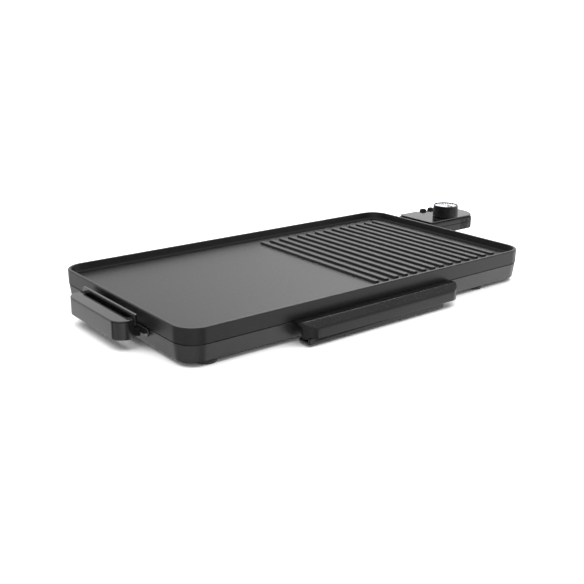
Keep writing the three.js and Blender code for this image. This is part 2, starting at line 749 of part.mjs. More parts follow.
function controlLowerHousing() {
  const nose = NOSE_HALF_WIDTH + SMALL_GAP;
  const chin = nose + 2;
  let shell = cut(slab(controlOutline(0), CONTROL_BOTTOM, CONTROL_SPLIT, 12),
    slab(controlOutline(CONTROL_WALL), CONTROL_BOTTOM + CONTROL_WALL, CONTROL_SPLIT + 1, 12));
  shell = join(shell, block(CONTROL_X, NOSE_BACK + 2.4, CONTROL_Y - chin, CONTROL_Y + chin,
    NOSE_BOTTOM - 2, CONTROL_BOTTOM + 1.5));
  shell = cut(shell, block(CONTROL_X - 1, NOSE_BACK + GAP, CONTROL_Y - nose, CONTROL_Y + nose,
    NOSE_BOTTOM - SMALL_GAP, NOSE_TOP + GAP), inletHole());
  const boss = 3.5;
  const shankHole = 1.5;
  const headHole = 2.7;
  const headSeat = 23;
  for (const [, x, y] of HOUSING_SCREWS) {
    shell = join(shell, pegZ(x, y, boss, CONTROL_BOTTOM + 1, CONTROL_SPLIT));
    shell = cut(shell, pegZ(x, y, shankHole, CONTROL_BOTTOM - 1, CONTROL_SPLIT + 1),
      pegZ(x, y, headHole, CONTROL_BOTTOM - 1, headSeat));
  }
  return shell;
}

function controlUpperHousing() {
  const split = CONTROL_SPLIT + SMALL_GAP;
  const boss = 3;
  const pilot = 1.35;
  let shell = cut(slab(controlOutline(0), split, CONTROL_DECK, 12),
    slab(controlOutline(CONTROL_WALL), split - 1, DECK_UNDER, 12));
  for (const [, x, y] of HOUSING_SCREWS) {
    shell = join(shell, pegZ(x, y, boss, split, DECK_UNDER + 0.5));
    shell = cut(shell, pegZ(x, y, pilot, split - 1, DECK_UNDER - 0.6));
  }
  return cut(shell, inletHole(), leverNotch(NOTCH_FLOOR, CONTROL_TOP),
    pegZ(KNOB_X, KNOB_Y, SHAFT_HOLE, DECK_UNDER - 1, CONTROL_TOP),
    pegZ(LENS_X, LENS_Y, LENS_HOLE, DECK_UNDER - 1, CONTROL_TOP));
}

function controlTopPanel() {
  const under = CONTROL_DECK + SMALL_GAP;
  const margin = 0.9;
  return cut(slab(controlOutline(margin), under, CONTROL_TOP, 12),
    leverNotch(under - 1, CONTROL_TOP + 1),
    pegZ(KNOB_X, KNOB_Y, SHAFT_HOLE, under - 1, CONTROL_TOP + 1),
    pegZ(LENS_X, LENS_Y, LENS_HOLE, under - 1, CONTROL_TOP + 1));
}

const CONTACT_WELL = 3;

// The moulded plug face that holds the two contacts and the probe.
function controlNose() {
  return cut(
    block(NOSE_X, NOSE_BACK, CONTROL_Y - NOSE_HALF_WIDTH, CONTROL_Y + NOSE_HALF_WIDTH,
      NOSE_BOTTOM, NOSE_TOP),
    pegX(CONTROL_Y - PIN_SPREAD, ELEMENT_Z, CONTACT_WELL, NOSE_X - 1, NOSE_BACK + 1),
    pegX(CONTROL_Y + PIN_SPREAD, ELEMENT_Z, CONTACT_WELL, NOSE_X - 1, NOSE_BACK + 1),
    pegX(CONTROL_Y, PROBE_Z, PROBE_RADIUS + GAP, NOSE_X - 1, NOSE_BACK + 1));
}

function contact(y) {
  const x0 = NOSE_X + 1.4;
  const x1 = NOSE_BACK - 0.6;
  const outer = CONTACT_WELL - 0.35;
  const bore = PIN_RADIUS + 0.45;
  return cut(pegX(y, ELEMENT_Z, outer, x0, x1), pegX(y, ELEMENT_Z, bore, x0 - 1, x1 + 1));
}

function probeRod() {
  return pegX(CONTROL_Y, PROBE_Z, PROBE_RADIUS, PROBE_TIP_X, NOSE_BACK - 1);
}

const SHAFT_RADIUS = 3;
const SHAFT_BOTTOM = 31.8;
const SHAFT_TOP = 50;
const CAP_RADIUS = 15.4;
const CAP_RECESS = 2.3; // depth of the recess in the knob's top
const CAP_THICK = 0.9;

// The bimetal switch that the knob's shaft turns.
function thermostatBlock() {
  const low = CONTROL_BOTTOM + CONTROL_WALL + GAP;
  const top = 29;
  const size = 30;
  const x = KNOB_X - 14;
  const y = KNOB_Y - 10.6;
  const hubRadius = 6;
  return join(block(x, x + size, y, y + size, low, top),
    pegZ(KNOB_X, KNOB_Y, hubRadius, top - 0.5, SHAFT_BOTTOM - GAP));
}

function knobShaft() {
  return pegZ(KNOB_X, KNOB_Y, SHAFT_RADIUS, SHAFT_BOTTOM, SHAFT_TOP);
}

function controlKnob() {
  const foot = CONTROL_TOP + GAP;
  const rim = KNOB_RADIUS - 0.25;
  const recess = CAP_RADIUS + GAP;
  const floor = KNOB_TOP - CAP_RECESS;
  return cut(turned(KNOB_X, KNOB_Y, [[0, foot], [KNOB_RADIUS, foot], [rim, KNOB_TOP - 1],
    [rim - 1, KNOB_TOP], [recess, KNOB_TOP], [recess, floor], [0, floor]], 32),
  pegZ(KNOB_X, KNOB_Y, SHAFT_RADIUS + GAP, foot - 1, SHAFT_TOP + GAP));
}

function knobCap() {
  const low = KNOB_TOP - CAP_RECESS + SMALL_GAP;
  const top = low + CAP_THICK;
  return turned(KNOB_X, KNOB_Y, [[0, low], [CAP_RADIUS, low], [CAP_RADIUS, top - 0.4],
    [CAP_RADIUS - 0.6, top], [0, top]], 32);
}

// The mark on the knob that points to the chosen heat.
function knobPointer() {
  const low = KNOB_TOP - CAP_RECESS + 2 * SMALL_GAP + CAP_THICK;
  const half = 1.1;
  return block(KNOB_X - half, KNOB_X + half, KNOB_Y - 12, KNOB_Y - 3, low, low + 0.5);
}

const LEVER_PIN_Y = LEVER_Y + 3.4;
const LEVER_PIN_RADIUS = 0.8;
const LEVER_BORE = 1.2;
const LEVER_SIDE_GAP = 0.6;
const SPRING_X0 = 303;
const SPRING_X1 = 311;

// A thumb lever: a top plate with two ridges, on a knuckle that turns about the pin.
function releaseLever() {
  const x0 = LEVER_X0 + LEVER_SIDE_GAP;
  const x1 = LEVER_X1 - LEVER_SIDE_GAP;
  const knuckle = 2.2;
  const front = LEVER_Y + 1.4;
  const edge = CONTROL_BACK + GAP;
  const under = 35;
  const top = 37.6;
  const section = [
    [front, LEVER_PIN_Z + 1], [front, top - 1.2], [front + 1, top - 0.4], [edge - 1.4, top],
    [edge, top - 0.8], [edge, under], [LEVER_Y + 6, under],
  ];
  const ridges = RIDGES.map(([from, to]) => block(from, to, LEVER_Y + 4, edge - 0.8, top - 0.6,
    RIDGE_TOP));
  return cut(
    join(barAlongX(section, x0, x1), pegX(LEVER_PIN_Y, LEVER_PIN_Z, knuckle, x0, x1), ...ridges),
    pegX(LEVER_PIN_Y, LEVER_PIN_Z, LEVER_BORE, x0 - 1, x1 + 1),
    block(SPRING_X0 - 1, SPRING_X1 + 1, LEVER_Y, LEVER_Y + 6.6, LEVER_PIN_Z - 3.6, under + 1.2));
}

function leverPin() {
  return pegX(LEVER_PIN_Y, LEVER_PIN_Z, LEVER_PIN_RADIUS, LEVER_X0 + 0.8, LEVER_X1 - 0.8);
}

function leverSpring() {
  const outer = 2.1;
  const inner = 1.3;
  return cut(pegX(LEVER_PIN_Y, LEVER_PIN_Z, outer, SPRING_X0, SPRING_X1),
    pegX(LEVER_PIN_Y, LEVER_PIN_Z, inner, SPRING_X0 - 1, SPRING_X1 + 1));
}

function pilotLens() {
  const low = DECK_UNDER + 0.7;
  const top = CONTROL_TOP + 0.7;
  return turned(LENS_X, LENS_Y, [[0, low], [LENS_RADIUS, low], [LENS_RADIUS, CONTROL_TOP],
    [LENS_RADIUS - 0.8, top - 0.2], [0, top]], 16);
}

function pilotLamp() {
  const radius = 2;
  const length = 6.9;
  const top = DECK_UNDER + 0.2;
  return pegZ(LENS_X, LENS_Y, radius, top - length, top);
}

function cordInlet() {
  const y0 = CONTROL_BACK - 6;
  const y1 = CONTROL_BACK + 2;
  const flange = 5.6;
  const bore = 3.1;
  return cut(
    join(pegY(INLET_X, INLET_Z, INLET_RADIUS, y0, y1),
      pegY(INLET_X, INLET_Z, flange, CONTROL_BACK + SMALL_GAP, y1)),
    pegY(INLET_X, INLET_Z, bore, y0 - 1, y1 + 1));
}

function housingScrew(x, y) {
  const head = 2.3;
  const shank = 1;
  const low = CONTROL_BOTTOM + 0.8;
  const neck = low + 1.8;
  const tip = 35.1;
  return turned(x, y, [[0, low], [head, low], [head, neck], [shank, neck], [shank, tip - 0.5],
    [0, tip]], 10);
}

// ---- Assembly -------------------------------------------------------------------------

const cooker = new THREE.Group();
root.add(cooker);
place("griddle_plate", griddlePlate(), castCoated, cooker);
place("heating_element", heatingElement(), sheathSteel, cooker);
place("terminal_pin_live", terminalPin(CONTROL_Y - PIN_SPREAD), steel, cooker);
place("terminal_pin_neutral", terminalPin(CONTROL_Y + PIN_SPREAD), steel, cooker);
place("terminal_insulator", terminalInsulator(), ceramic, cooker);
place("probe_sleeve", probeSleeve(), steel, cooker);
place("socket_collar", socketCollar(), phenolic, cooker);
place("heat_reflector", heatReflector(), aluminium, cooker);
place("base_frame", baseFrame(), satinPlastic, cooker);
place("tray_rail_left", trayRail(TRAY_LEFT, -1), steel, cooker);
place("tray_rail_right", trayRail(TRAY_RIGHT, 1), steel, cooker);
for (const [name, x, y] of FEET) {
  place(`foot_${name}`, foot(x, y), rubber, cooker);
}
eachCorner(POST_X, POST_Y, (name, x, y) => {
  place(`plate_screw_${name}`, plateScrew(x, y), steel, cooker);
});

const handle = new THREE.Group();
root.add(handle);
place("handle_flange", handleFlange(), glossPlastic, handle);
place("handle_grip", handleGrip(), glossPlastic, handle);
place("handle_top_cover", handleTopCover(), glossPlastic, handle);
place("handle_shield", handleShield(), glossPlastic, handle);
for (const [name, y] of ARMS) {
  place(`handle_screw_${name}`, handleScrew(y), steel, handle);
}

const tray = new THREE.Group();
root.add(tray);
place("drip_tray", dripTray(), aluminium, tray);
place("tray_front_plate", trayFrontPlate(), satinPlastic, tray);
place("tray_handle", trayHandle(), satinPlastic, tray);
for (const [side, x] of TRAY_SCREWS) {
  place(`tray_screw_${side}`, trayScrew(x), steel, tray);
}

const control = new THREE.Group();
root.add(control);
place("control_lower_housing", controlLowerHousing(), satinPlastic, control);
place("control_upper_housing", controlUpperHousing(), satinPlastic, control);
place("control_top_panel", controlTopPanel(), glossPlastic, control);
place("control_nose", controlNose(), phenolic, control);
place("contact_live", contact(CONTROL_Y - PIN_SPREAD), brass, control);
place("contact_neutral", contact(CONTROL_Y + PIN_SPREAD), brass, control);
place("probe_rod", probeRod(), steel, control);
place("thermostat_block", thermostatBlock(), phenolic, control);
place("pilot_lamp", pilotLamp(), lampRed, control);
place("pilot_lens", pilotLens(), lampRed, control);
place("cord_inlet", cordInlet(), rubber, control);
for (const [name, x, y] of HOUSING_SCREWS) {
  place(`housing_screw_${name}`, housingScrew(x, y), steel, control);
}

const knob = new THREE.Group();
control.add(knob);
place("knob_shaft", knobShaft(), steel, knob);
place("control_knob", controlKnob(), satinPlastic, knob);
place("knob_cap", knobCap(), silver, knob);
place("knob_pointer", knobPointer(), glossPlastic, knob);

const lever = new THREE.Group();
control.add(lever);
place("release_lever", releaseLever(), satinPlastic, lever);
place("lever_pin", leverPin(), steel, lever);
place("lever_spring", leverSpring(), steel, lever);

// The origin goes to the middle of the whole griddle, on the table.
const whole = new THREE.Box3().setFromObject(root);
const middle = whole.getCenter(new THREE.Vector3());
root.position.set(-middle.x, -middle.y, -whole.min.z);

const group = new THREE.Group();
group.add(root);

export default group;
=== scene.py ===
"""Looks for the electric griddle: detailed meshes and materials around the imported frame.

Lengths are millimetres until a mesh is made, because the object is small; Blender gets metres.
The plate lies flat, +X points to the temperature control and -Y to the drip tray's pull.
"""

import json
import math
from math import cos, pi, sin, sqrt

import bmesh
import bpy
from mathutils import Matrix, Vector


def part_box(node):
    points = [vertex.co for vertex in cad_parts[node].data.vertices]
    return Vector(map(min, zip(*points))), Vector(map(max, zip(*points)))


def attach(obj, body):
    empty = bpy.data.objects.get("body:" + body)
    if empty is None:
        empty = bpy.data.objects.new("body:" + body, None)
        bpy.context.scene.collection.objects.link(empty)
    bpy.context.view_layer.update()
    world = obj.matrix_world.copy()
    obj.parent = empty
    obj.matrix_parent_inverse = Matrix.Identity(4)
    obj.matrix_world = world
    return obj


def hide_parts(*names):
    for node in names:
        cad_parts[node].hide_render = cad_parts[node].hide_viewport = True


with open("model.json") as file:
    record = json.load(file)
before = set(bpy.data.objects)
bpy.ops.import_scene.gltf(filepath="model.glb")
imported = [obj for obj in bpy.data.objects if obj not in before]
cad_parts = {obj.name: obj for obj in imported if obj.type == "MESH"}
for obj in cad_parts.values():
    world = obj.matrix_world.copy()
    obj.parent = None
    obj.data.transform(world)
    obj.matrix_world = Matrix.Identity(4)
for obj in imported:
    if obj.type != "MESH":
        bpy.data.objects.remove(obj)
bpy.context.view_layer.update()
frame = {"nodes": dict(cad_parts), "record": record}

MM = 0.001
GAP = 0.4          # between pieces that touch
SMALL_GAP = 0.3    # the same inside a moulding
SCREW_HOLE = 1.9   # radius of a hole that a screw's shank passes through
CUT_EDGE = 0.02    # round edge of a cutting tool, as good as sharp
BODY_OF = {n: b for b, ns in frame["record"]["behaviour"]["bodies"].items() for n in ns}


class Box:
    """A CAD node's box in millimetres."""

    def __init__(self, node):
        low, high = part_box(node)
        self.x0, self.y0, self.z0 = (c / MM for c in low)
        self.x1, self.y1, self.z1 = (c / MM for c in high)
        self.x = (self.x0 + self.x1) / 2
        self.y = (self.y0 + self.y1) / 2
        self.z = (self.z0 + self.z1) / 2


# ---- Outlines ----

def arc(x, y, radius, start, end, steps):
    """Points on a circle, from angle start to angle end."""
    turn = (end - start) / steps
    return [(x + radius * cos(start + turn * i), y + radius * sin(start + turn * i))
            for i in range(steps + 1)]


def quarter(steps):
    """Angles from 0 to a right angle."""
    return [i / steps * pi / 2 for i in range(steps + 1)]


def rounded(x0, x1, y0, y1, radius, steps=6):
    """An outline function: a rectangle with round corners, shrunk by inset."""
    def outline(inset):
        r = max(radius - inset, 0.02)
        a, b, c, d = x0 + inset + r, x1 - inset - r, y0 + inset + r, y1 - inset - r
        return (arc(b, d, r, 0, pi / 2, steps) + arc(a, d, r, pi / 2, pi, steps)
                + arc(a, c, r, pi, 1.5 * pi, steps) + arc(b, c, r, 1.5 * pi, 2 * pi, steps))
    return outline


def circle(x, y, radius, sides=24):
    """An outline function: a circle of so many sides."""
    def outline(inset):
        return arc(x, y, radius - inset, 0, 2 * pi * (sides - 1) / sides, sides - 1)
    return outline


def stadium(x, y0, y1, width):
    """An outline function: a slot along Y with round ends."""
    def outline(inset):
        r = width / 2 - inset
        return (arc(x, y1 - width / 2, r, 0, pi, 8)
                + arc(x, y0 + width / 2, r, pi, 2 * pi, 8))
    return outline


def soft_edges(z0, z1, low, high):
    """(inset, z) rows of a side wall with round edges of radius low and high."""
    angles = quarter(3)
    lower = [(low * (1 - sin(a)), z0 + low * (1 - cos(a))) for a in angles]
    upper = [(high * (1 - sin(a)), z1 - high * (1 - cos(a))) for a in reversed(angles)]
    return lower + upper


# ---- Solids ----

TO_ROW = {
    "z": lambda u, v, w: (u, v, w),
    "x": lambda u, v, w: (w, u, v),
    "y": lambda u, v, w: (u, w, v),
}


class Solid:
    """A closed mesh built from rings of points. A ring lies across the axis at height w."""

    def __init__(self, axis="z"):
        self.mesh = bmesh.new()
        self.place = TO_ROW[axis]

    def ring(self, points, w):
        return self.loop([self.place(u, v, w) for u, v in points])

    def loop(self, points):
        return [self.mesh.verts.new([c * MM for c in p]) for p in points]

    def rings(self, outline, rows):
        """A wall: one ring for each (inset, w) row."""
        return self.walls([self.ring(outline(inset), w) for inset, w in rows])

    def walls(self, rings):
        """Walls from ring to ring."""
        for a, b in zip(rings, rings[1:]):
            self.wall(a, b)
        return rings

    def wall(self, a, b):
        count = len(a)
        for i in range(count):
            j = (i + 1) % count
            self.mesh.faces.new((a[i], a[j], b[j], b[i]))

    def fill(self, *loops):
        """A flat face inside the first loop and outside the others."""
        edges = []
        for ring in loops:
            for a, b in zip(ring, ring[1:] + ring[:1]):
                edges.append(self.mesh.edges.get((a, b)) or self.mesh.edges.new((a, b)))
        bmesh.ops.triangle_fill(self.mesh, edges=edges, use_beauty=True)

    def closed(self, rings):
        """The mesh with walls from ring to ring and a flat face over each end."""
        self.walls(rings)
        self.fill(rings[0])
        self.fill(rings[-1])
        return self.made()

    def made(self):
        """The finished mesh, with its faces turned outwards."""
        bmesh.ops.remove_doubles(self.mesh, verts=self.mesh.verts, dist=1e-7)
        bmesh.ops.recalc_face_normals(self.mesh, faces=self.mesh.faces)
        data = bpy.data.meshes.new("solid")
        self.mesh.to_mesh(data)
        self.mesh.free()
        return data


def prism(outline, z0, z1, low, high, axis="z", holes=(), hole_edge=0.25):
    """An outline with round edges, with holes right through it."""
    solid = Solid(axis)
    rings = solid.rings(outline, soft_edges(z0, z1, low, high))
    lower, upper = [rings[0]], [rings[-1]]
    for hole in holes:
        rows = [(-inset, z) for inset, z in soft_edges(z0, z1, hole_edge, hole_edge)]
        inner = solid.rings(hole, rows)
        lower.append(inner[0])
        upper.append(inner[-1])
    solid.fill(*lower)
    solid.fill(*upper)
    return solid.made()


def turned(x, y, profile, sides=32, axis="z", flute=None):
    """A round piece from (radius, z) points; both ends are closed. flute makes its rings, where
    they aren't plain circles."""
    solid = Solid(axis)
    rings = []
    for radius, z in profile:
        points = flute(x, y, radius, z, sides) if flute else circle(x, y, radius, sides)(0)
        rings.append(solid.ring(points, z))
    return solid.closed(rings)


def extruded(section, x0, x1):
    """A section of (y, z) points carried along X."""
    solid = Solid("x")
    return solid.closed([solid.ring(section, x) for x in (x0, x1)])


def temporary(data):
    """An object that holds a mesh while it is cut or joined."""
    thing = bpy.data.objects.new("tool", data)
    bpy.context.scene.collection.objects.link(thing)
    return thing


def combine(data, tools, operation="DIFFERENCE"):
    """The mesh after cutting or joining the tool meshes."""
    whole = temporary(data)
    for tool in tools:
        other = temporary(tool)
        change = whole.modifiers.new("change", "BOOLEAN")
        change.operation = operation
        change.solver = "EXACT"
        change.object = other
    graph = bpy.context.evaluated_depsgraph_get()
    result = bpy.data.meshes.new_from_object(whole.evaluated_get(graph))
    for change in list(whole.modifiers):
        bpy.data.objects.remove(change.object)
    bpy.data.objects.remove(whole)
    return result


def cut(data, *tools):
    return combine(data, tools)


def join(data, *tools):
    return combine(data, tools, "UNION")


def block(x0, x1, y0, y1, z0, z1, edge=0.05):
    """A box, used as a cutting tool."""
    return prism(rounded(x0, x1, y0, y1, 2 * edge, 1), z0, z1, edge, edge)


def drill(u, v, radius, w0, w1, axis, sides=24):
    """A round cutting tool along the axis."""
    return prism(circle(u, v, radius, sides), w0, w1, CUT_EDGE, CUT_EDGE, axis)


SHARP_ANGLE = math.radians(32)


def show(name, data, material, *nodes):
    """Makes the mesh a piece that stands for its CAD nodes and rides on their body."""
    data.name = name
    data.materials.clear()
    data.materials.append(material)
    data.shade_smooth()
    data.set_sharp_from_angle(angle=SHARP_ANGLE)
    piece = bpy.data.objects.new(name, data)
    bpy.context.scene.collection.objects.link(piece)
    normals = piece.modifiers.new("normals", "WEIGHTED_NORMAL")
    normals.keep_sharp = True
    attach(piece, BODY_OF[nodes[0]])
    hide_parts(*nodes)


# ---- Materials ----

class Paint:
    """A node material whose patterns follow the object's own coordinates, in metres."""

    def __init__(self, name, **sockets):
        self.material = bpy.data.materials.new(name)
        self.material.use_nodes = True
        self.tree = self.material.node_tree
        self.shader = self.tree.nodes["Principled BSDF"]
        for socket, value in sockets.items():
            self.shader.inputs[socket.replace("_", " ")].default_value = value
        self.place = self.tree.nodes.new("ShaderNodeTexCoord").outputs["Object"]

    def node(self, kind, **settings):
        made = self.tree.nodes.new(kind)
        for key, value in settings.items():
            setattr(made, key, value)
        return made

    def link(self, out, into):
        self.tree.links.new(out, into)

    def stretched(self, x, y, z):
        """The coordinates, scaled so that a pattern runs long one way."""
        mapping = self.node("ShaderNodeMapping")
        mapping.inputs["Scale"].default_value = (x, y, z)
        self.link(self.place, mapping.inputs["Vector"])
        return mapping.outputs["Vector"]

    def noise(self, size, detail, place=None):
        """Noise whose features are about size millimetres across."""
        made = self.node("ShaderNodeTexNoise")
        made.inputs["Scale"].default_value = 1 / (size * MM)
        made.inputs["Detail"].default_value = detail
        self.link(place or self.place, made.inputs["Vector"])
        return made.outputs["Fac"]

    def ramp(self, value, low, high, start, end):
        """Colours between low and high as value goes from start to end."""
        made = self.node("ShaderNodeValToRGB")
        for element, place, colour in zip(made.color_ramp.elements, (start, end), (low, high)):
            element.position = place
            element.color = (*colour, 1)
        self.link(value, made.inputs["Fac"])
        return made.outputs["Color"]

    def colour(self, value, low, high, start=0.35, end=0.65):
        self.link(self.ramp(value, low, high, start, end), self.shader.inputs["Base Color"])

    def rough(self, value, low, high):
        greys = (low,) * 3, (high,) * 3
        self.link(self.ramp(value, *greys, 0.3, 0.7), self.shader.inputs["Roughness"])

    def bump(self, value, height):
        """height is in millimetres."""
        made = self.node("ShaderNodeBump")
        made.inputs["Strength"].default_value = 1.0
        made.inputs["Distance"].default_value = height * MM
        self.link(value, made.inputs["Height"])
        self.link(made.outputs["Normal"], self.shader.inputs["Normal"])


def mottled_paint(name, colour, rough, bump, **sockets):
    """A material with noise in its colour, roughness and bump. Each is given as the noise's
    size and detail, then the two ends of the colour or roughness, or the bump's height."""
    paint = Paint(name, **sockets)
    paint.colour(paint.noise(*colour[:2]), *colour[2:])
    paint.rough(paint.noise(*rough[:2]), *rough[2:])
    paint.bump(paint.noise(*bump[:2]), *bump[2:])
    return paint.material


def satin_paint(name, low, high, smooth, dull, shine):
    """Moulded plastic with a fine spark-eroded grain."""
    return mottled_paint(name, (1.2, 4, (low, low, low * 1.04), (high, high, high * 1.05)),
                         (18, 3, smooth, dull), (0.45, 2, 0.008), Specular_IOR_Level=shine)


def metal_paint(name, dark, light, smooth, dull, grain=(1, 1, 1), size=1.0, height=0.004):
    """Bare metal whose grain runs long where the scale is small."""
    paint = Paint(name, Metallic=1.0)
    lines = paint.noise(size, 4, paint.stretched(*grain))
    paint.colour(lines, dark, light, 0.3, 0.7)
    paint.rough(paint.noise(size * 6, 4, paint.stretched(*grain)), smooth, dull)
    paint.bump(lines, height)
    return paint.material


def spun_paint(centre):
    """A disc turned on a lathe: fine rings round its centre, which is in millimetres."""
    paint = Paint("spun_silver", Metallic=1.0)
    mapping = paint.node("ShaderNodeMapping")
    mapping.inputs["Location"].default_value = [-c * MM for c in centre]
    paint.link(paint.place, mapping.inputs["Vector"])
    rings = paint.node("ShaderNodeTexWave", wave_type="RINGS", rings_direction="Z")
    rings.inputs["Scale"].default_value = 420
    rings.inputs["Distortion"].default_value = 1.5
    paint.link(mapping.outputs["Vector"], rings.inputs["Vector"])
    paint.colour(rings.outputs["Fac"], (0.62, 0.63, 0.64), (0.76, 0.77, 0.78), 0.2, 0.8)
    paint.rough(paint.noise(2, 3), 0.2, 0.32)
    paint.bump(rings.outputs["Fac"], 0.006)
    return paint.material


def floor_paint():
    paint = Paint("studio_floor", Roughness=0.9, Specular_IOR_Level=0.0)
    paint.colour(paint.noise(900, 2), (0.90, 0.90, 0.90), (0.91, 0.91, 0.91))
    return paint.material


coat = mottled_paint("nonstick_coat", (0.5, 3, (0.006, 0.006, 0.0063), (0.010, 0.010, 0.0104)),
                     (3, 4, 0.30, 0.35), (0.9, 2, 0.012), Specular_IOR_Level=0.2)
satin = satin_paint("base_plastic", 0.010, 0.014, 0.34, 0.40, 0.36)
sleek = satin_paint("grip_plastic", 0.004, 0.006, 0.25, 0.31, 0.2)
dull = satin_paint("lever_plastic", 0.004, 0.007, 0.7, 0.8, 0.2)
gloss = mottled_paint("gloss_plastic", (6, 4, (0.003, 0.003, 0.003), (0.005, 0.005, 0.005)),
                      (22, 5, 0.08, 0.14), (9, 2, 0.004))
rubber = mottled_paint("rubber", (1.5, 4, (0.008, 0.008, 0.008), (0.018, 0.018, 0.019)),
                       (4, 3, 0.7, 0.9), (0.35, 2, 0.015))
steel = metal_paint("plain_steel", (0.46, 0.46, 0.47), (0.6, 0.6, 0.61), 0.24, 0.4)
oxide = metal_paint("element_sheath", (0.05, 0.046, 0.04), (0.13, 0.115, 0.10), 0.4, 0.6, size=3,
                    height=0.02)
sheet = metal_paint("pressed_aluminium", (0.6, 0.61, 0.62), (0.72, 0.73, 0.74), 0.28, 0.42,
                    (1, 0.03, 1), 0.8)
brass = metal_paint("brass", (0.62, 0.43, 0.16), (0.74, 0.54, 0.22), 0.22, 0.36)
phenolic = mottled_paint("phenolic", (0.8, 5, (0.016, 0.010, 0.008), (0.04, 0.026, 0.018)),
                         (5, 3, 0.4, 0.6), (0.6, 3, 0.01))
ceramic = mottled_paint("ceramic", (0.7, 4, (0.70, 0.67, 0.60), (0.82, 0.80, 0.74)),
                        (3, 3, 0.55, 0.75), (0.4, 3, 0.02))
lens = mottled_paint("lamp_lens", (2, 2, (0.30, 0.008, 0.006), (0.42, 0.014, 0.010)),
                     (3, 2, 0.06, 0.14), (1.4, 1, 0.02), Transmission_Weight=0.35, Coat_Weight=0.6)


# ---- Cooking plate ----

RIM_WIDTH = 3.8
SURFACE_DROP = 9.5       # from the rim down to the cooking surface
UNDERSIDE_DROP = 14      # from the rim down to the plate's underside
PLATE_CORNER = 24
RIB_COUNT = 14
RIB_FIRST = 19.5         # from the plate's middle
RIB_PITCH = 15.2
RIB_WIDTH = 7.6
RIB_HEIGHT = 2.8
RIB_END = 109
DRAIN = (-6, -121, 30, 8)  # x and y from the plate's middle, length along X, width
POST = (228, 104)        # fixing points, from the plate's middle
BOSS_RADIUS = 4.5
BOSS_HEIGHT = 5.9
BOSS_BORE = 1.75
CORNERS = [(-1, -1), (1, -1), (-1, 1), (1, 1)]

plate = Box("griddle_plate")
base = Box("base_frame")
collar = Box("socket_collar")


def corner_outline(box, radius):
    return rounded(box.x0, box.x1, box.y0, box.y1, radius, 14)


def plate_rows(skirt_bottom, surface, rim):
    """(inset, z) rows from the underside, out round the skirt and over the rim, down to
    the cooking surface."""
    under = rim - UNDERSIDE_DROP
    rows = [(6.2, under), (4.9, under - 0.5), (4.3, under - 1.5)]
    rows += [(3.7, skirt_bottom + 0.5), (3.3, skirt_bottom)]
    rows += [(0.5, skirt_bottom), (0.15, skirt_bottom + 0.15), (0, skirt_bottom + 0.5)]
    outer = 1.3
    rows += [(outer * (1 - cos(a)), rim - outer * (1 - sin(a))) for a in quarter(5)]
    inner = 0.9
    rows += [(RIM_WIDTH - inner * (1 - sin(a)), rim - inner * (1 - cos(a))) for a in quarter(4)]
    draft = 0.9
    fillet = 2.6
    foot = RIM_WIDTH + draft
    rows += [(foot + fillet * (1 - cos(a)), surface + fillet * (1 - sin(a))) for a in quarter(6)]
    return rows


def rib_rows(surface):
    """(inset, z) rows of a rib: a small fillet at its foot and a round top edge."""
    foot = 0.7
    top = 1.1
    draft = 0.25
    crest = surface + RIB_HEIGHT
    rows = [(foot * sin(a) - foot, surface + foot * (1 - cos(a))) for a in quarter(3)]
    return rows + [(draft + top * (1 - cos(a)), crest - top * (1 - sin(a))) for a in quarter(4)]


def drain_outline(grow):
    """The drain slot's outline, or that of the spout round it."""
    x, y, length, width = DRAIN
    half = length / 2 + grow
    side = width / 2 + grow
    return rounded(plate.x + x - half, plate.x + x + half, plate.y + y - side, plate.y + y + side,
                   side - 0.05)


def build_plate():
    rim = plate.z1
    surface = rim - SURFACE_DROP
    under = rim - UNDERSIDE_DROP
    skirt_bottom = base.z1 + GAP
    solid = Solid()
    rings = solid.rings(corner_outline(plate, PLATE_CORNER),
                        plate_rows(skirt_bottom, surface, rim))
    top_loops, under_loops = [rings[-1]], [rings[0]]
    for i in range(RIB_COUNT):
        x = plate.x + RIB_FIRST + i * RIB_PITCH
        rib = solid.rings(stadium(x, plate.y - RIB_END, plate.y + RIB_END, RIB_WIDTH),
                          rib_rows(surface))
        solid.fill(rib[-1])
        top_loops.append(rib[0])
    lip = 0.8
    hole_rows = [(-lip, surface), (-lip * 0.45, surface - lip * 0.1),
                 (-lip * 0.1, surface - lip * 0.4), (0, surface - lip), (0, plate.z0 + 0.3),
                 (-0.3, plate.z0)]
    hole = solid.rings(drain_outline(0), hole_rows)
    top_loops.append(hole[0])
    spout = solid.rings(drain_outline(2), [(0.3, plate.z0), (0, plate.z0 + 0.3), (0, under - 0.6),
                                           (-0.6, under)])
    solid.fill(spout[0], hole[-1])
    under_loops.append(spout[-1])
    for sx, sy in CORNERS:
        at = (plate.x + sx * POST[0], plate.y + sy * POST[1])
        low = under - BOSS_HEIGHT
        rows = [(0.3, low), (0, low + 0.3), (0, under - 0.8), (-0.8, under)]
        boss = solid.rings(circle(*at, BOSS_RADIUS), rows)
        bore = solid.rings(circle(*at, BOSS_BORE), [(0, low), (0, under - 0.4)])
        solid.fill(boss[0], bore[0])
        solid.fill(bore[-1])
        under_loops.append(boss[-1])
    solid.fill(*top_loops)
    solid.fill(*under_loops)
    notch = block(plate.x1 - RIM_WIDTH + 0.1, plate.x1 + 2, collar.y0 - GAP, collar.y1 + GAP,
                  skirt_bottom - 2, collar.z1 + GAP)
    return cut(solid.made(), notch)


show("cast_plate", build_plate(), coat, "griddle_plate")


# ---- Base and feet ----

BASE_WALL = 2.6
BASE_FLOOR = 2.0
BASE_TAPER = 2.0
FLOOR_SLOTS = (-190, -160, -130, 120, 150, 180)  # x from the plate's middle
FLOOR_SLOT_END = 60
FLOOR_SLOT_WIDTH = 6
POST_SHOULDER = 16.1     # heights above the table
POST_TOP = 19.7
PEG_HOLE = 2.9

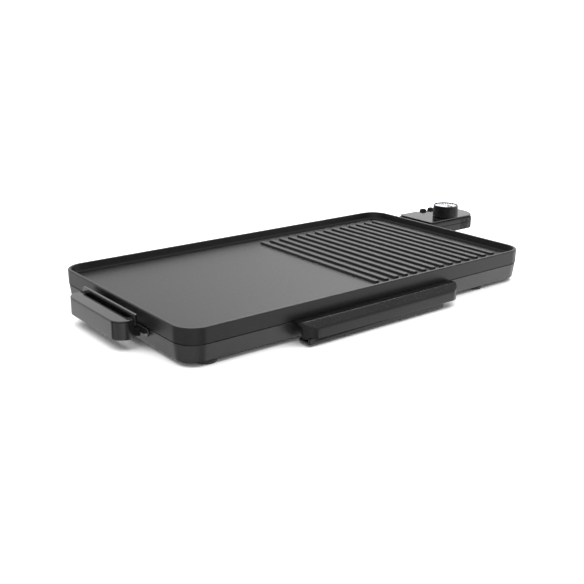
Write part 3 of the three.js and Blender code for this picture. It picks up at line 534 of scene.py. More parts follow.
tray = Box("drip_tray")
feet = {name: Box(name) for name in
        ("foot_front_left", "foot_front_right", "foot_rear_left", "foot_rear_right")}
handle_screws = [Box("handle_screw_front"), Box("handle_screw_rear")]
tray_screws = [Box("tray_screw_left"), Box("tray_screw_right")]


def post_rows(low, floor):
    """(inset, z) rows of a post for a plate screw: up its bore, over its top and down outside."""
    rows = [(5.0, low), (4.6, low + 0.4), (4.6, low + 4.6), (2.2, low + 4.6), (2.2, POST_TOP - 0.3),
            (2.5, POST_TOP), (4.3, POST_TOP), (4.6, POST_TOP - 0.3), (4.6, POST_SHOULDER),
            (6.2, POST_SHOULDER), (6.5, POST_SHOULDER - 0.3), (6.5, floor + 1), (7.5, floor)]
    return [(-radius, z) for radius, z in rows]


def build_base():
    low, top = base.z0, base.z1
    floor = low + BASE_FLOOR
    edge = 2.2
    rows = [(BASE_TAPER + edge + 1.2, low)]
    rows += [(BASE_TAPER + edge * (1 - sin(a)), low + edge * (1 - cos(a))) for a in quarter(5)]
    rows += [(0.1, top - 1.0), (0.3, top - 0.75), (1.5, top - 0.6), (1.6, top),
             (BASE_WALL - 0.3, top), (BASE_WALL, top - 0.3), (BASE_WALL + BASE_TAPER, floor + 2.4),
             (BASE_WALL + BASE_TAPER + 0.7, floor + 0.7), (BASE_WALL + BASE_TAPER + 2.4, floor)]
    solid = Solid()
    rings = solid.rings(corner_outline(base, PLATE_CORNER - 0.4), rows)
    under, inside = [rings[0]], [rings[-1]]
    for x in FLOOR_SLOTS:
        outline = stadium(plate.x + x, plate.y - FLOOR_SLOT_END, plate.y + FLOOR_SLOT_END,
                          FLOOR_SLOT_WIDTH)
        rows = [(-0.4, low), (0, low + 0.4), (0, floor - 0.4), (-0.4, floor)]
        slot = solid.rings(outline, rows)
        under.append(slot[0])
        inside.append(slot[-1])
    for sx, sy in CORNERS:
        at = circle(plate.x + sx * POST[0], plate.y + sy * POST[1], 0)
        post = solid.rings(at, post_rows(low, floor))
        under.append(post[0])
        inside.append(post[-1])
    for foot in feet.values():
        hole = solid.rings(circle(foot.x, foot.y, PEG_HOLE), [(0, low), (0, floor)])
        under.append(hole[0])
        inside.append(hole[-1])
    solid.fill(*under)
    solid.fill(*inside)
    rail_left, rail_right = Box("tray_rail_left"), Box("tray_rail_right")
    mouth = block(rail_left.x0 + 6.9, rail_right.x1 - 5.9, base.y0 - 2, base.y0 + 6.2,
                  floor + 0.2, top - 2.5, 0.3)
    socket = block(base.x1 - BASE_WALL - 1.5, base.x1 + 2, collar.y0 - GAP, collar.y1 + GAP,
                   collar.z0 - GAP, top + 1)
    holes = [drill(screw.y, screw.z, SCREW_HOLE, base.x0 - 2, base.x0 + 7, "x")
             for screw in handle_screws]
    return cut(solid.made(), mouth, socket, *holes)


def build_foot(foot):
    """A moulded disc with a shallow dish under it and a barbed peg."""
    radius = (foot.x1 - foot.x0) / 2
    low, disc, top = foot.z0, base.z0 - SMALL_GAP, foot.z1
    profile = [(3.5, low + 0.8), (radius - 3.2, low + 0.8), (radius - 2.6, low + 0.1),
               (radius - 2.3, low), (radius - 0.9, low), (radius - 0.4, low + 0.2),
               (radius, low + 0.9), (radius, disc - 0.5), (radius - 0.4, disc), (2.5, disc),
               (2.5, disc + 2.6), (2.4, disc + 2.7), (1.6, top - 0.2), (1.3, top)]
    return turned(foot.x, foot.y, profile, 48)


show("base_shell", build_base(), satin, "base_frame")
for name, foot in feet.items():
    show("rubber_" + name, build_foot(foot), rubber, name)


# ---- Screws ----

SCREW_SETS = [  # name, members, axis, radius of the head and of the shank
    ("plate_screw_", ("front_left", "front_right", "rear_left", "rear_right"), "z", 3.8, 1.3),
    ("housing_screw_", ("front", "rear", "outer"), "z", 2.3, 1.0),
    ("handle_screw_", ("front", "rear"), "x", 3.4, 1.4),
    ("tray_screw_", ("left", "right"), "y", 3.1, 1.2),
]


def screw_mesh(x, y, head_z, tip_z, head, shank, axis):
    """A pan-head screw from its head's face to its tip, with a cross slot and a thread."""
    way = 1 if tip_z > head_z else -1
    thick = head * 0.5
    solid = Solid(axis)
    profile = [(head * 0.7, 0), (head * 0.93, thick * 0.25), (head, thick * 0.6), (head, thick),
               (shank, thick)]
    length = abs(tip_z - head_z)
    pitch = shank * 0.7
    z = thick + pitch / 2
    while z < length - shank * 1.5:
        profile += [(shank * 0.8, z), (shank * 1.15, z + pitch / 2)]
        z += pitch
    profile.append((shank * 0.25, length))
    rings = [solid.ring(circle(x, y, r, 20)(0), head_z + way * z) for r, z in profile]
    screw = solid.closed(rings)
    arm = head * 0.62
    width = head * 0.11
    deep = sorted((head_z - way * 0.2, head_z + way * thick * 0.7))
    cross = [prism(rounded(x - a, x + a, y - b, y + b, width * 0.5, 1), *deep, 0.01, 0.01, axis)
             for a, b in ((arm, width), (width, arm))]
    return cut(screw, *cross)


def screw_line(box, axis):
    """Where a screw's axis lies across it, and its head and tip along it."""
    return {"x": (box.y, box.z, box.x1, box.x0), "y": (box.x, box.z, box.y1, box.y0),
            "z": (box.x, box.y, box.z0, box.z1)}[axis]


for family, members, axis, head, shank in SCREW_SETS:
    for member in members:
        node = family + member
        screw = screw_mesh(*screw_line(Box(node), axis), head, shank, axis)
        show("pan_" + node, screw, steel, node)


# ---- Drip tray ----

TRAY_FLANGE = 3.5
TRAY_WALL = 1.2
TRAY_CORNER = 9


def build_tray():
    """A pressed tray: sloping walls, a round floor corner and a rolled rim on three sides."""
    x0, x1 = tray.x0 + TRAY_FLANGE, tray.x1 - TRAY_FLANGE
    y0, y1 = tray.y0, tray.y1 - TRAY_FLANGE
    low, top = tray.z0, tray.z1
    wall = TRAY_WALL
    steps = 8
    body = rounded(x0, x1, y0, y1, TRAY_CORNER, steps)
    flange = rounded(tray.x0, tray.x1, y0, tray.y1, TRAY_CORNER + TRAY_FLANGE / 2, steps)
    solid = Solid()
    section = [(2.2, low), (0.8, low + 0.45), (0.15, low + 1.6), (0, top - 1.3), (0, top - 1)]
    outer = solid.rings(body, section)
    rim = solid.rings(flange, [(0.2, top - 1), (0, top - 0.75), (0, top - 0.25), (0.25, top)])
    solid.wall(outer[-1], rim[0])
    inner_rows = [(wall - 0.7, top), (wall - 0.2, top - 0.15), (wall, top - 0.7),
                  (wall + 0.15, low + wall + 1.4), (wall + 0.6, low + wall + 0.35),
                  (wall + 1.8, low + wall)]
    inner = solid.rings(body, inner_rows)
    solid.wall(rim[-1], inner[0])
    solid.fill(outer[0])
    solid.fill(inner[-1])
    holes = [drill(screw.x, screw.z, SCREW_HOLE, y0 - 2, y0 + 4, "y") for screw in tray_screws]
    return cut(solid.made(), *holes)


def build_front_plate():
    box = Box("tray_front_plate")
    holes = [circle(screw.x, screw.z, SCREW_HOLE) for screw in tray_screws]
    outline = rounded(box.x0, box.x1, box.z0, box.z1, 1.5)
    return prism(outline, box.y0, box.y1, 0.3, 0.3, "y", holes)


PULL_CORNER = 19
PULL_WALL = 2.0
PULL_LIFT = 3.8          # of its lower edge over the base's underside
END_OPENING_FRONT = 9.5  # from the pull's face
END_OPENING_DROP = 3.2   # under the pull's top
END_OPENING_REACH = 6    # to each side of the pull's end
LIP_LEFT = 5             # from the pull's ends
LIP_RIGHT = 30
LIP_THICK = 2.4
pull = Box("tray_handle")


def pull_plan(inset):
    """A tall block with the pull's plan, for trimming its section."""
    outline = rounded(pull.x0 + inset, pull.x1 - inset, pull.y0 + inset, pull.y0 + 80,
                      PULL_CORNER - inset, 14)
    return prism(outline, -5, 50, 0.01, 0.01)


def pull_shell():
    """A hollow grip: flat top, sloping shoulder, tall face and an opening in each end."""
    y, top, low = pull.y0, pull.z1, base.z0 + PULL_LIFT
    outside = [(pull.y1, low), (pull.y1, top - 0.7), (pull.y1 - 0.3, top - 0.55), (y + 10.8, top),
               (y + 10.2, top - 0.03), (y + 9.7, top - 0.25), (y + 9.4, top - 0.45),
               (y + 1.9, top - 4.5), (y + 1.1, top - 5.1), (y + 0.5, top - 5.9),
               (y + 0.1, top - 6.9), (y, top - 8), (y, low + 1.4), (y + 0.2, low + 0.6),
               (y + 0.8, low)]
    inside = [(pull.y1 + 1, -1), (pull.y1 + 1, top - 2.4), (y + 10.4, top - 2.0),
              (y + 3.4, top - 5.8), (y + PULL_WALL, top - 7.6), (y + PULL_WALL, -1)]
    solid = combine(extruded(outside, pull.x0, pull.x1), [pull_plan(0)], "INTERSECT")
    hollow = combine(extruded(inside, pull.x0, pull.x1), [pull_plan(PULL_WALL)], "INTERSECT")
    opening = rounded(y + END_OPENING_FRONT, pull.y1 + 20, -20, top - END_OPENING_DROP, 4)
    ends = [prism(opening, x - END_OPENING_REACH, x + END_OPENING_REACH, CUT_EDGE, CUT_EDGE, "x")
            for x in (pull.x0, pull.x1)]
    return cut(solid, hollow, *ends)


def build_pull():
    """The shell with a lip under it and bosses for its two screws."""
    back = Box("tray_front_plate").y0 - SMALL_GAP
    x0, x1, y = pull.x0 + LIP_LEFT, pull.x1 - LIP_RIGHT, pull.y0 + PULL_WALL - 0.2
    lip = prism(rounded(x0, x1, y, back, 2.5), pull.z0, pull.z0 + LIP_THICK, 0.5, 0.3)
    wall = prism(rounded(x0 + 0.01, x1 - 0.01, y + 0.01, y + 2.4, 1.1, 3), pull.z0 + 0.55,
                 base.z0 + PULL_LIFT + 1, CUT_EDGE, 0.3)
    bosses = []
    for screw in tray_screws:
        boss = prism(circle(screw.x, screw.z, 3.6), y - 0.2, back, CUT_EDGE, 0.3, "y")
        bosses.append(cut(boss, drill(screw.x, screw.z, 1.6, pull.y0 + 6.4, back + 1.3, "y")))
    return join(pull_shell(), lip, wall, *bosses)


show("tray_pan", build_tray(), sheet, "drip_tray")
show("tray_face", build_front_plate(), satin, "tray_front_plate")
show("tray_pull", build_pull(), sleek, "tray_handle")


# ---- Left handle ----

BAR_CORNER = 13
BAR_TO_SHIELD = 3.6
ARM_WIDTH = 10
ARM_LIFT = 1.6           # over the bar's underside

bar = Box("handle_top_cover")
grip = Box("handle_grip")
shield = Box("handle_shield")
flange = Box("handle_flange")
arm_spans = ((bar.y0, bar.y0 + ARM_WIDTH), (bar.y1 - ARM_WIDTH, bar.y1))
inner_x = shield.x0 - BAR_TO_SHIELD


def shoulder(y0, y1, z0, z1):
    """Carries the bar's end on to the shield."""
    return prism(rounded(inner_x - 1.5, bar.x1, y0 + 0.02, y1 - 0.02, 0.5, 3), z0, z1, 0.1, 0.5)


def bar_outline(inset):
    """The bar in plan: nearly square towards the griddle, round at its outer corners."""
    x0, x1, y0, y1 = bar.x0 + inset, inner_x - inset, bar.y0 + inset, bar.y1 - inset
    r = BAR_CORNER - inset
    small = max(1.2 - inset, 0.05)
    steps = 14
    return (arc(x1 - small, y1 - small, small, 0, pi / 2, 3)
            + arc(x0 + r, y1 - r, r, pi / 2, pi, steps)
            + arc(x0 + r, y0 + r, r, pi, 1.5 * pi, steps)
            + arc(x1 - small, y0 + small, small, 1.5 * pi, 2 * pi, 3))


def build_grip():
    low, top = grip.z0, bar.z0 - SMALL_GAP
    wall = 2.6
    ceiling = top - wall
    solid = Solid()
    rows = [(0.5, top), (0.12, top - 0.12), (0, top - 0.5), (0, low + 1.0), (0.3, low + 0.3),
            (1.0, low), (wall - 0.4, low), (wall, low + 0.4), (wall + 0.2, ceiling - 1.2),
            (wall + 0.6, ceiling - 0.3), (wall + 1.5, ceiling)]
    rings = solid.rings(bar_outline, rows)
    solid.fill(rings[0])
    solid.fill(rings[-1])
    arms = []
    for screw, (y0, y1) in zip(handle_screws, arm_spans):
        arm = prism(rounded(y0 + 0.02, y1 - 0.02, low + ARM_LIFT, base.z1, 1.2), inner_x - 1.5,
                    grip.x1, CUT_EDGE, 0.4, "x")
        hole = drill(screw.y, screw.z, SCREW_HOLE, inner_x - 0.8, grip.x1 + 1, "x")
        arms.append(cut(arm, hole))
        arms.append(shoulder(y0, y1, base.z1 - 1, top))
    return join(solid.made(), *arms)


def build_cover():
    """The bar's cover, with a short ear over each shoulder."""
    plain = prism(bar_outline, bar.z0, bar.z1, 0.25, 0.7)
    ears = [shoulder(y0, y1, bar.z0 + 0.02, bar.z1 - 0.02) for y0, y1 in arm_spans]
    return join(plain, *ears)


def build_flange():
    outline = rounded(flange.y0, flange.y1, flange.z0, flange.z1, 3.4)
    holes = [circle(screw.y, screw.z, SCREW_HOLE) for screw in handle_screws]
    return prism(outline, flange.x0, flange.x1, 0.9, 0.3, "x", holes)


def build_shield():
    outline = rounded(shield.y0, shield.y1, shield.z0, shield.z1, 1.6, 5)
    return prism(outline, shield.x0, shield.x1, 0.45, 0.45, "x")


show("bar_grip", build_grip(), gloss, "handle_grip")
show("bar_cover", build_cover(), gloss, "handle_top_cover")
show("heat_shield", build_shield(), gloss, "handle_shield")
show("handle_plate", build_flange(), gloss, "handle_flange")


# ---- Temperature control ----

END_RADIUS = 40
END_CORNER = 7
GRIP_RIBS = 6
GRIP_PITCH = 2.6
HOUSING_WALL = 2.0
LOWER_DEPTH = 10.9       # from the joint between the shells down to the underside
RIB_DEPTH = 0.45
DECK_THICK = 1.5
SCREW_SEAT = 23.0        # height above the table
PANEL_MARGIN = 1.0
PANEL_NECK = 3.0
SHAFT_HOLE = 3.6
CORD_HOLE = 4.4
LEVER_WELL_FLOOR = 32.4  # height above the table

lower = Box("control_lower_housing")
upper = Box("control_upper_housing")
panel = Box("control_top_panel")
knob = Box("control_knob")
cap = Box("knob_cap")
lever = Box("release_lever")
lamp = Box("pilot_lens")
nose = Box("control_nose")
inlet = Box("cord_inlet")


def side_line(x0, x1, y, way, ribs):
    """Points along a side of the control from x0 to x1, with grip ribs near the end."""
    start = max(x0, x1) - 4 - GRIP_RIBS * GRIP_PITCH
    steps = 8
    line = []
    for i in range(GRIP_RIBS * steps + 1):
        x = start + i * GRIP_PITCH / steps
        line.append((x, y + way * ribs * abs(sin(pi * i / steps)) ** 0.7))
    if x1 < x0:
        line.reverse()
    return line


def control_outline(ribs=0.0):
    """The control in plan: square towards the plate, bowed and round at the outer end."""
    half = (upper.y1 - upper.y0) / 2
    middle = upper.y
    bow_x = upper.x1 - END_RADIUS
    turn_x = bow_x + sqrt((END_RADIUS - END_CORNER) ** 2 - (half - END_CORNER) ** 2)
    angle = math.atan2(half - END_CORNER, turn_x - bow_x)

    def outline(inset):
        x0 = upper.x0 + inset
        y0, y1 = middle - half + inset, middle + half - inset
        small = max(1.5 - inset, 0.05)
        r = END_CORNER - inset
        return (arc(x0 + small, y0 + small, small, pi, 1.5 * pi, 4)
                + side_line(x0, turn_x, y0, -1, ribs)
                + arc(turn_x, y0 + r, r, -pi / 2, -angle, 8)
                + arc(bow_x, middle, END_RADIUS - inset, -angle, angle, 20)[1:-1]
                + arc(turn_x, y1 - r, r, angle, pi / 2, 8)
                + side_line(turn_x, x0, y1, 1, ribs)
                + arc(x0 + small, y1 - small, small, pi / 2, pi, 4))
    return outline


def shell_rings(solid, rows):
    """Walls of a housing, from (inset, z, ribs) rows."""
    return solid.walls([solid.ring(control_outline(ribs)(inset), z) for inset, z, ribs in rows])


lever_well = (lever.x0 - 0.6, lever.x1 + 0.6, lever.y0 - 1.4, upper.y1 + 2)


def cord_hole():
    return drill(inlet.x, inlet.z, CORD_HOLE, upper.y1 - 6, upper.y1 + 2, "y", 32)


def build_lower():
    """The lower shell, with screw bosses and a chin that holds the plug's face."""
    low, top = upper.z0 - LOWER_DEPTH, upper.z0 - SMALL_GAP
    wall = HOUSING_WALL
    solid = Solid()
    rows = [(3.4, low, 0), (1.6, low + 0.35, 0), (0.55, low + 1.2, 0), (0.25, low + 2.4, RIB_DEPTH),
            (0, top - 0.6, RIB_DEPTH), (0.1, top - 0.2, RIB_DEPTH), (0.4, top, 0),
            (wall - 0.2, top, 0), (wall, top - 0.2, 0), (wall, low + 3.2, 0),
            (wall + 0.6, low + 2.3, 0), (wall + 1.8, low + 2, 0)]
    rings = shell_rings(solid, rows)
    under, inside = [rings[0]], [rings[-1]]
    for name in ("front", "rear", "outer"):
        screw = Box("housing_screw_" + name)
        at = circle(screw.x, screw.y, 0)
        rows = [(3.0, low), (2.7, low + 0.3), (2.7, SCREW_SEAT), (1.5, SCREW_SEAT), (1.5, top),
                (3.4, top), (3.5, low + 2.6), (4.0, low + 2)]
        boss = solid.rings(at, [(-r, z) for r, z in rows])
        under.append(boss[0])
        inside.append(boss[-1])
    solid.fill(*under)
    solid.fill(*inside)
    chin = prism(rounded(lower.x0, nose.x1 + 2.4, nose.y0 - 2.3, nose.y1 + 2.3, 2.5),
                 lower.z0, low + 1.5, 1.0, 0.05)
    mouth = block(lower.x0 - 1, nose.x1 + GAP, nose.y0 - SMALL_GAP, nose.y1 + SMALL_GAP,
                  nose.z0 - SMALL_GAP, nose.z1 + GAP, 0.1)
    return cut(join(solid.made(), chin), mouth, cord_hole())


def build_upper():
    """The upper shell, with holes for the knob's shaft and the lamp and a well for the lever."""
    low, top = upper.z0, upper.z1
    wall = HOUSING_WALL
    under = top - DECK_THICK
    solid = Solid()
    rows = [(wall + 1.2, under, 0), (wall + 0.3, under - 0.3, 0), (wall, under - 1.2, 0),
            (wall, low + 0.2, 0), (wall - 0.2, low, 0), (0.4, low, 0), (0.1, low + 0.2, RIB_DEPTH),
            (0, low + 0.6, RIB_DEPTH), (0, top - 2.8, RIB_DEPTH), (0.2, top - 1.7, 0),
            (0.6, top - 0.8, 0), (1.2, top - 0.2, 0), (1.9, top, 0)]
    rings = shell_rings(solid, rows)
    inside, outside = [rings[0]], [rings[-1]]
    for round_hole in (circle(knob.x, knob.y, SHAFT_HOLE), circle(lamp.x, lamp.y, 3.4)):
        hole = solid.rings(round_hole, [(0, under), (0, top)])
        inside.append(hole[0])
        outside.append(hole[-1])
    solid.fill(*inside)
    solid.fill(*outside)
    notch = block(*lever_well, LEVER_WELL_FLOOR, top + 1)
    return cut(solid.made(), notch, cord_hole())


def build_panel():
    """The polished panel that lies on the upper shell."""
    low, top = panel.z0, panel.z1
    neck = top - 1.0
    solid = Solid()
    rings = solid.rings(control_outline(), [
        (PANEL_NECK, low), (PANEL_NECK, neck), (PANEL_MARGIN + 0.2, neck),
        (PANEL_MARGIN, neck + 0.15), (PANEL_MARGIN, top - 0.35), (PANEL_MARGIN + 0.1, top - 0.1),
        (PANEL_MARGIN + 0.35, top)])
    under, upper_face = [rings[0]], [rings[-1]]
    for hole in (circle(knob.x, knob.y, SHAFT_HOLE), circle(lamp.x, lamp.y, 3.3)):
        inner = solid.rings(hole, [(0, low), (0, top - 0.2), (-0.2, top)])
        under.append(inner[0])
        upper_face.append(inner[-1])
    solid.fill(*under)
    solid.fill(*upper_face)
    return cut(solid.made(), block(*lever_well, low - 1, top + 1))


SHAFT_BORE = 3.4
SHAFT_BORE_DEPTH = 10
FLUTES = 72
FLUTE_DEPTH = 0.28


def build_knob():
    """A slightly tapered knob with fine flutes, a bore for its shaft and a recess for its disc."""
    radius = (knob.x1 - knob.x0) / 2
    low, top = knob.z0, knob.z1
    grip_low, grip_high = low + 1.8, top - 2.2

    def fluted(x, y, r, z, count):
        """A ring of the knob, with flutes where fingers grip it."""
        gripped = grip_low - 0.01 < z < grip_high + 0.01 and r > radius - 0.9
        depth = FLUTE_DEPTH if gripped else 0.0
        points = []
        for i in range(count):
            a = 2 * pi * i / count
            near = r - depth * (0.5 - 0.5 * cos(FLUTES * a))
            points.append((x + near * cos(a), y + near * sin(a)))
        return points

    rim = radius - 0.25
    recess = cap.z0 - SMALL_GAP
    ceiling = low + SHAFT_BORE_DEPTH
    wall = (cap.x1 - cap.x0) / 2 + GAP
    profile = [(0.4, ceiling), (SHAFT_BORE, ceiling), (SHAFT_BORE, low + 0.4),
               (SHAFT_BORE + 0.4, low), (radius - 0.5, low), (radius, low + 0.5),
               (radius, grip_low - 0.3), (radius - 0.02, grip_low), (rim - 0.02, grip_high),
               (rim, grip_high + 0.3), (rim, top - 0.9), (rim - 0.2, top - 0.35),
               (rim - 0.6, top), (wall + 0.25, top), (wall, top - 0.25), (wall, recess),
               (0.4, recess)]
    return turned(knob.x, knob.y, profile, 4 * FLUTES, flute=fluted)


def build_cap():
    """The disc on the knob: a dished middle inside a raised ring."""
    radius = (cap.x1 - cap.x0) / 2
    low, top = cap.z0, cap.z1
    profile = [(radius, low), (radius, top - 0.35), (radius - 0.35, top), (radius * 0.66, top),
               (radius * 0.64, top - 0.35), (radius * 0.61, top - 0.42), (radius * 0.45, top - 0.3),
               (radius * 0.28, top - 0.15), (0.5, top - 0.1)]
    return turned(cap.x, cap.y, profile, 96)


def build_pointer():
    """The mark on the disc."""
    box = Box("knob_pointer")
    return prism(rounded(box.x0, box.x1, box.y0, box.y1, 1.05, 5), box.z0, box.z1, 0.05, 0.25)


LEVER_RIDGES = [(294.5, 303), (311, 318.5)]  # along X from the plate's middle
LEVER_TOP = 37.6         # heights above the table
LEVER_UNDER = 35
SPRING_WELL_TOP = 36.2


def ridge_mesh(x0, x1, low, top):
    """A ridge across the lever for the thumb, with sloping ends and a round crest."""
    edge = lever.y1
    solid = Solid("x")
    rings = []
    for x, rise in ((x0, 0.25), (x0 + 0.6, 0.75), (x0 + 1.8, 1), (x1 - 1.8, 1), (x1 - 0.6, 0.75),
                    (x1, 0.25)):
        crest = low + (top - low) * rise
        rings.append(solid.ring([(edge - 9.5, low), (edge - 9.1, crest - 1.0),
                                 (edge - 8.2, crest - 0.2), (edge - 7.2, crest),
                                 (edge - 3.5, crest), (edge - 2.0, crest - 0.5),
                                 (edge - 0.9, low)], x))
    return solid.closed(rings)


def build_lever():
    """A thumb lever with two ridges, a knuckle round its pin and a slot for the spring."""
    pin = Box("lever_pin")
    spring = Box("lever_spring")
    top, under, edge = LEVER_TOP, LEVER_UNDER, lever.y1
    section = [(pin.y - 2, pin.z + 1), (pin.y - 2, top - 1.2), (pin.y - 1.4, top - 0.6),
               (pin.y - 0.6, top - 0.4), (edge - 1.4, top), (edge - 0.5, top - 0.3),
               (edge, top - 0.9), (edge, under + 0.4), (edge - 0.4, under), (pin.y + 2.6, under)]
    blade = extruded(section, lever.x0, lever.x1)
    knuckle = prism(circle(pin.y, pin.z, 2.2), lever.x0, lever.x1, 0.3, 0.3, "x")
    ridges = [ridge_mesh(plate.x + x0, plate.x + x1, top - 1.2, lever.z1)
              for x0, x1 in LEVER_RIDGES]
    bore = drill(pin.y, pin.z, 1.2, lever.x0 - 1, lever.x1 + 1, "x")
    well = block(spring.x0 - 1, spring.x1 + 1, pin.y - 3.5, pin.y + 3.2, 30, SPRING_WELL_TOP)
    return cut(join(blade, knuckle, *ridges), bore, well)


def build_lens():
    """The lamp's window, with a domed top."""
    radius = (lamp.x1 - lamp.x0) / 2
    dome = 0.9
    spring_line = lamp.z1 - dome
    profile = [(radius - 0.2, lamp.z0), (radius, lamp.z0 + 0.2)]
    profile += [(max(radius * cos(a), 0.1), spring_line + dome * sin(a)) for a in quarter(6)]
    return turned(lamp.x, lamp.y, profile)


def build_inlet():
    """The bush of the cord's hole: a flanged sleeve."""
    low, high = inlet.y0, inlet.y1
    ring = upper.y1 + SMALL_GAP
    solid = Solid("y")
    rows = [(-3.4, low), (-4, low + 0.5), (-4, ring), (-5.3, ring), (-5.6, ring + 0.3),
            (-5.6, high - 0.6), (-5.1, high), (-3.6, high), (-3.1, high - 0.5), (-3.1, low + 0.3),
            (-3.4, low)]
    solid.rings(circle(inlet.x, inlet.z, 0, 32), rows)
    return solid.made()


def build_nose():
    """The plug's face, with wells for the two pins and the probe."""
    pins = [Box("contact_live"), Box("contact_neutral")]
    probe = Box("probe_rod")
    holes = [circle(p.y, p.z, 3.0) for p in pins] + [circle(probe.y, probe.z, 2.8)]
    outline = rounded(nose.y0, nose.y1, nose.z0, nose.z1, 2.2)
    return prism(outline, nose.x0, nose.x1, 0.5, 0.2, "x", holes, 0.35)


def build_collar():
    """The socket's surround on the base."""
    wall = 2.0
    outer = rounded(collar.y0, collar.y1, collar.z0, collar.z1, 2.5)
    inner = rounded(collar.y0 + wall, collar.y1 - wall, collar.z0 + wall, collar.z1 - wall + 0.2,
                    2.4)
    return prism(outer, collar.x0, collar.x1, 0.3, 0.6, "x", [inner])


def build_probe():
    """The probe: a rod with a round tip."""
    rod = Box("probe_rod")
    r = (rod.z1 - rod.z0) / 2
    profile = [(0.2, rod.x0), (r * 0.5, rod.x0 + 0.3), (r * 0.85, rod.x0 + 1.1), (r, rod.x0 + 2.4),
               (r, rod.x1 - 0.3), (r - 0.3, rod.x1)]
    return turned(rod.y, rod.z, profile, axis="x")


def build_pin(name):
    """A contact pin with a chamfered tip."""
    pin = Box(name)
    r = (pin.z1 - pin.z0) / 2
    profile = [(r, pin.x0), (r, pin.x1 - 1.4), (r * 0.8, pin.x1 - 0.5), (r * 0.45, pin.x1)]
    return turned(pin.y, pin.z, profile, axis="x")


def build_spring():
    """A torsion spring's coil round the lever's pin."""
    coil = Box("lever_spring")
    wire = 0.38
    radius = (coil.z1 - coil.z0) / 2 - wire
    turns = 7
    steps = turns * 20
    sides = 8
    solid = Solid("x")
    rings = []
    pitch = (coil.x1 - coil.x0 - 2 * wire) / turns
    for i in range(steps + 1):
        a = 2 * pi * turns * i / steps
        across = coil.x0 + wire + pitch * turns * i / steps
        ring = []
        for k in range(sides):
            b = 2 * pi * k / sides
            r = radius + wire * cos(b)
            ring.append((across + wire * sin(b), coil.y + r * cos(a), coil.z + r * sin(a)))
        rings.append(solid.loop(ring))
    return solid.closed(rings)


show("control_under_shell", build_lower(), sleek, "control_lower_housing")
show("control_upper_shell", build_upper(), sleek, "control_upper_housing")
show("control_panel", build_panel(), gloss, "control_top_panel")
show("heat_knob", build_knob(), sleek, "control_knob")
show("knob_disc", build_cap(), spun_paint((cap.x, cap.y, cap.z)), "knob_cap")
show("knob_mark", build_pointer(), gloss, "knob_pointer")
show("thumb_lever", build_lever(), dull, "release_lever")
show("lamp_window", build_lens(), lens, "pilot_lens")
show("cord_bush", build_inlet(), rubber, "cord_inlet")
show("plug_face", build_nose(), phenolic, "control_nose")
show("socket_surround", build_collar(), phenolic, "socket_collar")
show("heat_probe", build_probe(), steel, "probe_rod")
show("live_pin", build_pin("terminal_pin_live"), steel, "terminal_pin_live")
show("neutral_pin", build_pin("terminal_pin_neutral"), steel, "terminal_pin_neutral")
show("return_spring", build_spring(), steel, "lever_spring")


# ---- CAD nodes that stay, with their materials ----

KEPT = {
    "heating_element": oxide,
    "heat_reflector": sheet,
    "probe_sleeve": steel,
    "terminal_insulator": ceramic,
    "tray_rail_left": steel,
    "tray_rail_right": steel,
    "contact_live": brass,
    "contact_neutral": brass,
    "thermostat_block": phenolic,
    "pilot_lamp": lens,
    "knob_shaft": steel,
    "lever_pin": steel,
}
for name, material in KEPT.items():
    mesh = frame["nodes"][name].data
    mesh.materials.clear()
    mesh.materials.append(material)


# ---- Floor, light and camera ----

FLOOR_RADIUS = 9         # metres


def add_floor():
    solid = bmesh.new()
    bmesh.ops.create_circle(solid, cap_ends=True, segments=96, radius=FLOOR_RADIUS)
    data = bpy.data.meshes.new("floor")
    solid.to_mesh(data)
    solid.free()
    data.materials.append(floor_paint())
    floor = bpy.data.objects.new("floor", data)
    bpy.context.scene.collection.objects.link(floor)
    floor.visible_glossy = False


def add_sun(strength, spread, tilt_x, tilt_y):
    """A wide soft light from above. spread is its angle across, and the tilts are in degrees."""
    light = bpy.data.lights.new("overhead", "SUN")
    light.energy = strength
    light.angle = math.radians(spread)
    holder = bpy.data.objects.new("overhead", light)
    holder.rotation_euler = (math.radians(tilt_x), math.radians(tilt_y), 0)
    holder.visible_glossy = False
    bpy.context.scene.collection.objects.link(holder)


def add_glow(tree, direction, glow, heading, height, core, spread):
    """A patch of white that is even out to core degrees from its middle and fades out at
    spread degrees."""
    towards = tree.nodes.new("ShaderNodeVectorMath")
    towards.operation = "DOT_PRODUCT"
    turn, rise = math.radians(heading), math.radians(height)
    towards.inputs[1].default_value = (cos(turn) * cos(rise), sin(turn) * cos(rise), sin(rise))
    tree.links.new(direction, towards.inputs[0])
    fade = tree.nodes.new("ShaderNodeMapRange")
    fade.interpolation_type = "SMOOTHSTEP"
    fade.inputs["From Min"].default_value = cos(math.radians(spread))
    fade.inputs["From Max"].default_value = cos(math.radians(core))
    fade.inputs["To Max"].default_value = glow
    tree.links.new(towards.outputs["Value"], fade.inputs["Value"])
    return fade.outputs["Result"]


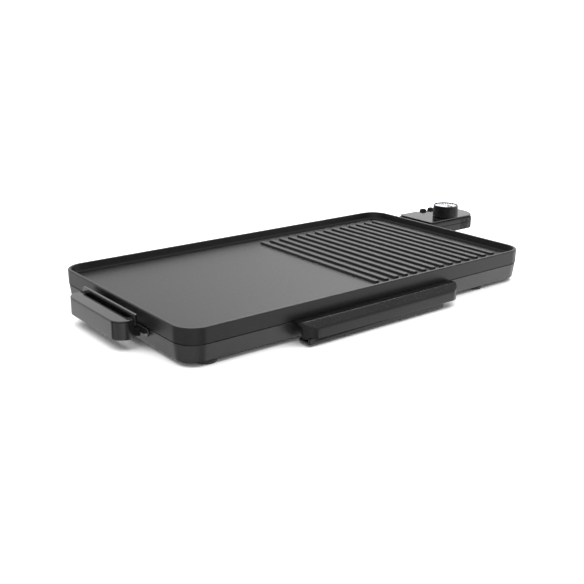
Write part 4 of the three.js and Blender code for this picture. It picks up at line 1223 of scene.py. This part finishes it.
def add_world(level, seen, glows):
    """level lights the object from all round, the glows add to it, and seen is what the camera
    sees behind the object."""
    world = bpy.data.worlds.new("studio")
    world.use_nodes = True
    world.cycles.sampling_method = "NONE"
    tree = world.node_tree
    background = tree.nodes["Background"]
    background.inputs["Color"].default_value = (1, 1, 1, 1)
    direction = tree.nodes.new("ShaderNodeTexCoord").outputs["Generated"]
    total = None
    for glow in glows:
        added = tree.nodes.new("ShaderNodeMath")
        added.operation = "ADD"
        added.inputs[1].default_value = level
        tree.links.new(add_glow(tree, direction, *glow), added.inputs[0])
        if total:
            tree.links.new(total, added.inputs[1])
        total = added.outputs["Value"]
    path = tree.nodes.new("ShaderNodeLightPath")
    choose = tree.nodes.new("ShaderNodeMapRange")
    choose.inputs["To Max"].default_value = seen
    tree.links.new(total, choose.inputs["To Min"])
    tree.links.new(path.outputs["Is Camera Ray"], choose.inputs["Value"])
    tree.links.new(choose.outputs["Result"], background.inputs["Strength"])
    bpy.context.scene.world = world


CAMERA_PLACE = (-0.65995, -0.7503, 0.3136)
CAMERA_HEADING = 51.59   # from +X, turning to +Y
CAMERA_PITCH = 17.94     # below the horizon
CAMERA_ROLL = 0.446
FOCAL_PIXELS = 858.2
IMAGE_PIXELS = 584
SENSOR = 36.0


def add_camera():
    camera = bpy.data.cameras.new("camera")
    camera.sensor_width = SENSOR
    camera.lens = FOCAL_PIXELS / IMAGE_PIXELS * SENSOR
    camera.clip_start = 0.01
    camera.clip_end = 50
    heading, pitch = math.radians(CAMERA_HEADING), math.radians(CAMERA_PITCH)
    ahead = Vector((cos(heading) * cos(pitch), sin(heading) * cos(pitch), -sin(pitch)))
    holder = bpy.data.objects.new("camera", camera)
    turn = ahead.to_track_quat("-Z", "Y").to_matrix()
    roll = math.radians(CAMERA_ROLL)
    right, up = turn.col[0].copy(), turn.col[1].copy()
    turn.col[0] = right * cos(roll) + up * sin(roll)
    turn.col[1] = up * cos(roll) - right * sin(roll)
    holder.matrix_world = turn.to_4x4()
    holder.location = CAMERA_PLACE
    bpy.context.scene.collection.objects.link(holder)
    bpy.context.scene.camera = holder


# Each glow: strength, heading from +X, height over the horizon, core, spread; in degrees
GLOWS = [
    (1.0, 55, 12, 20, 44),
    (2.4, -25, -16, 8, 47),
    (1.15, 104, -16, 8, 44),
    (0.8, 209, -14, 44, 62),
    (13.0, 45, 41, 4, 14),
    (0.6, 4, 54, 22, 56),
    (0.8, 122, 40, 20, 56),
    (0.6, 262, 36, 40, 80),
]

add_floor()
add_world(0.1, 1.1, GLOWS)
add_sun(4.2, 100, -12, 10)
add_camera()
bpy.context.scene.view_settings.view_transform = "Standard"
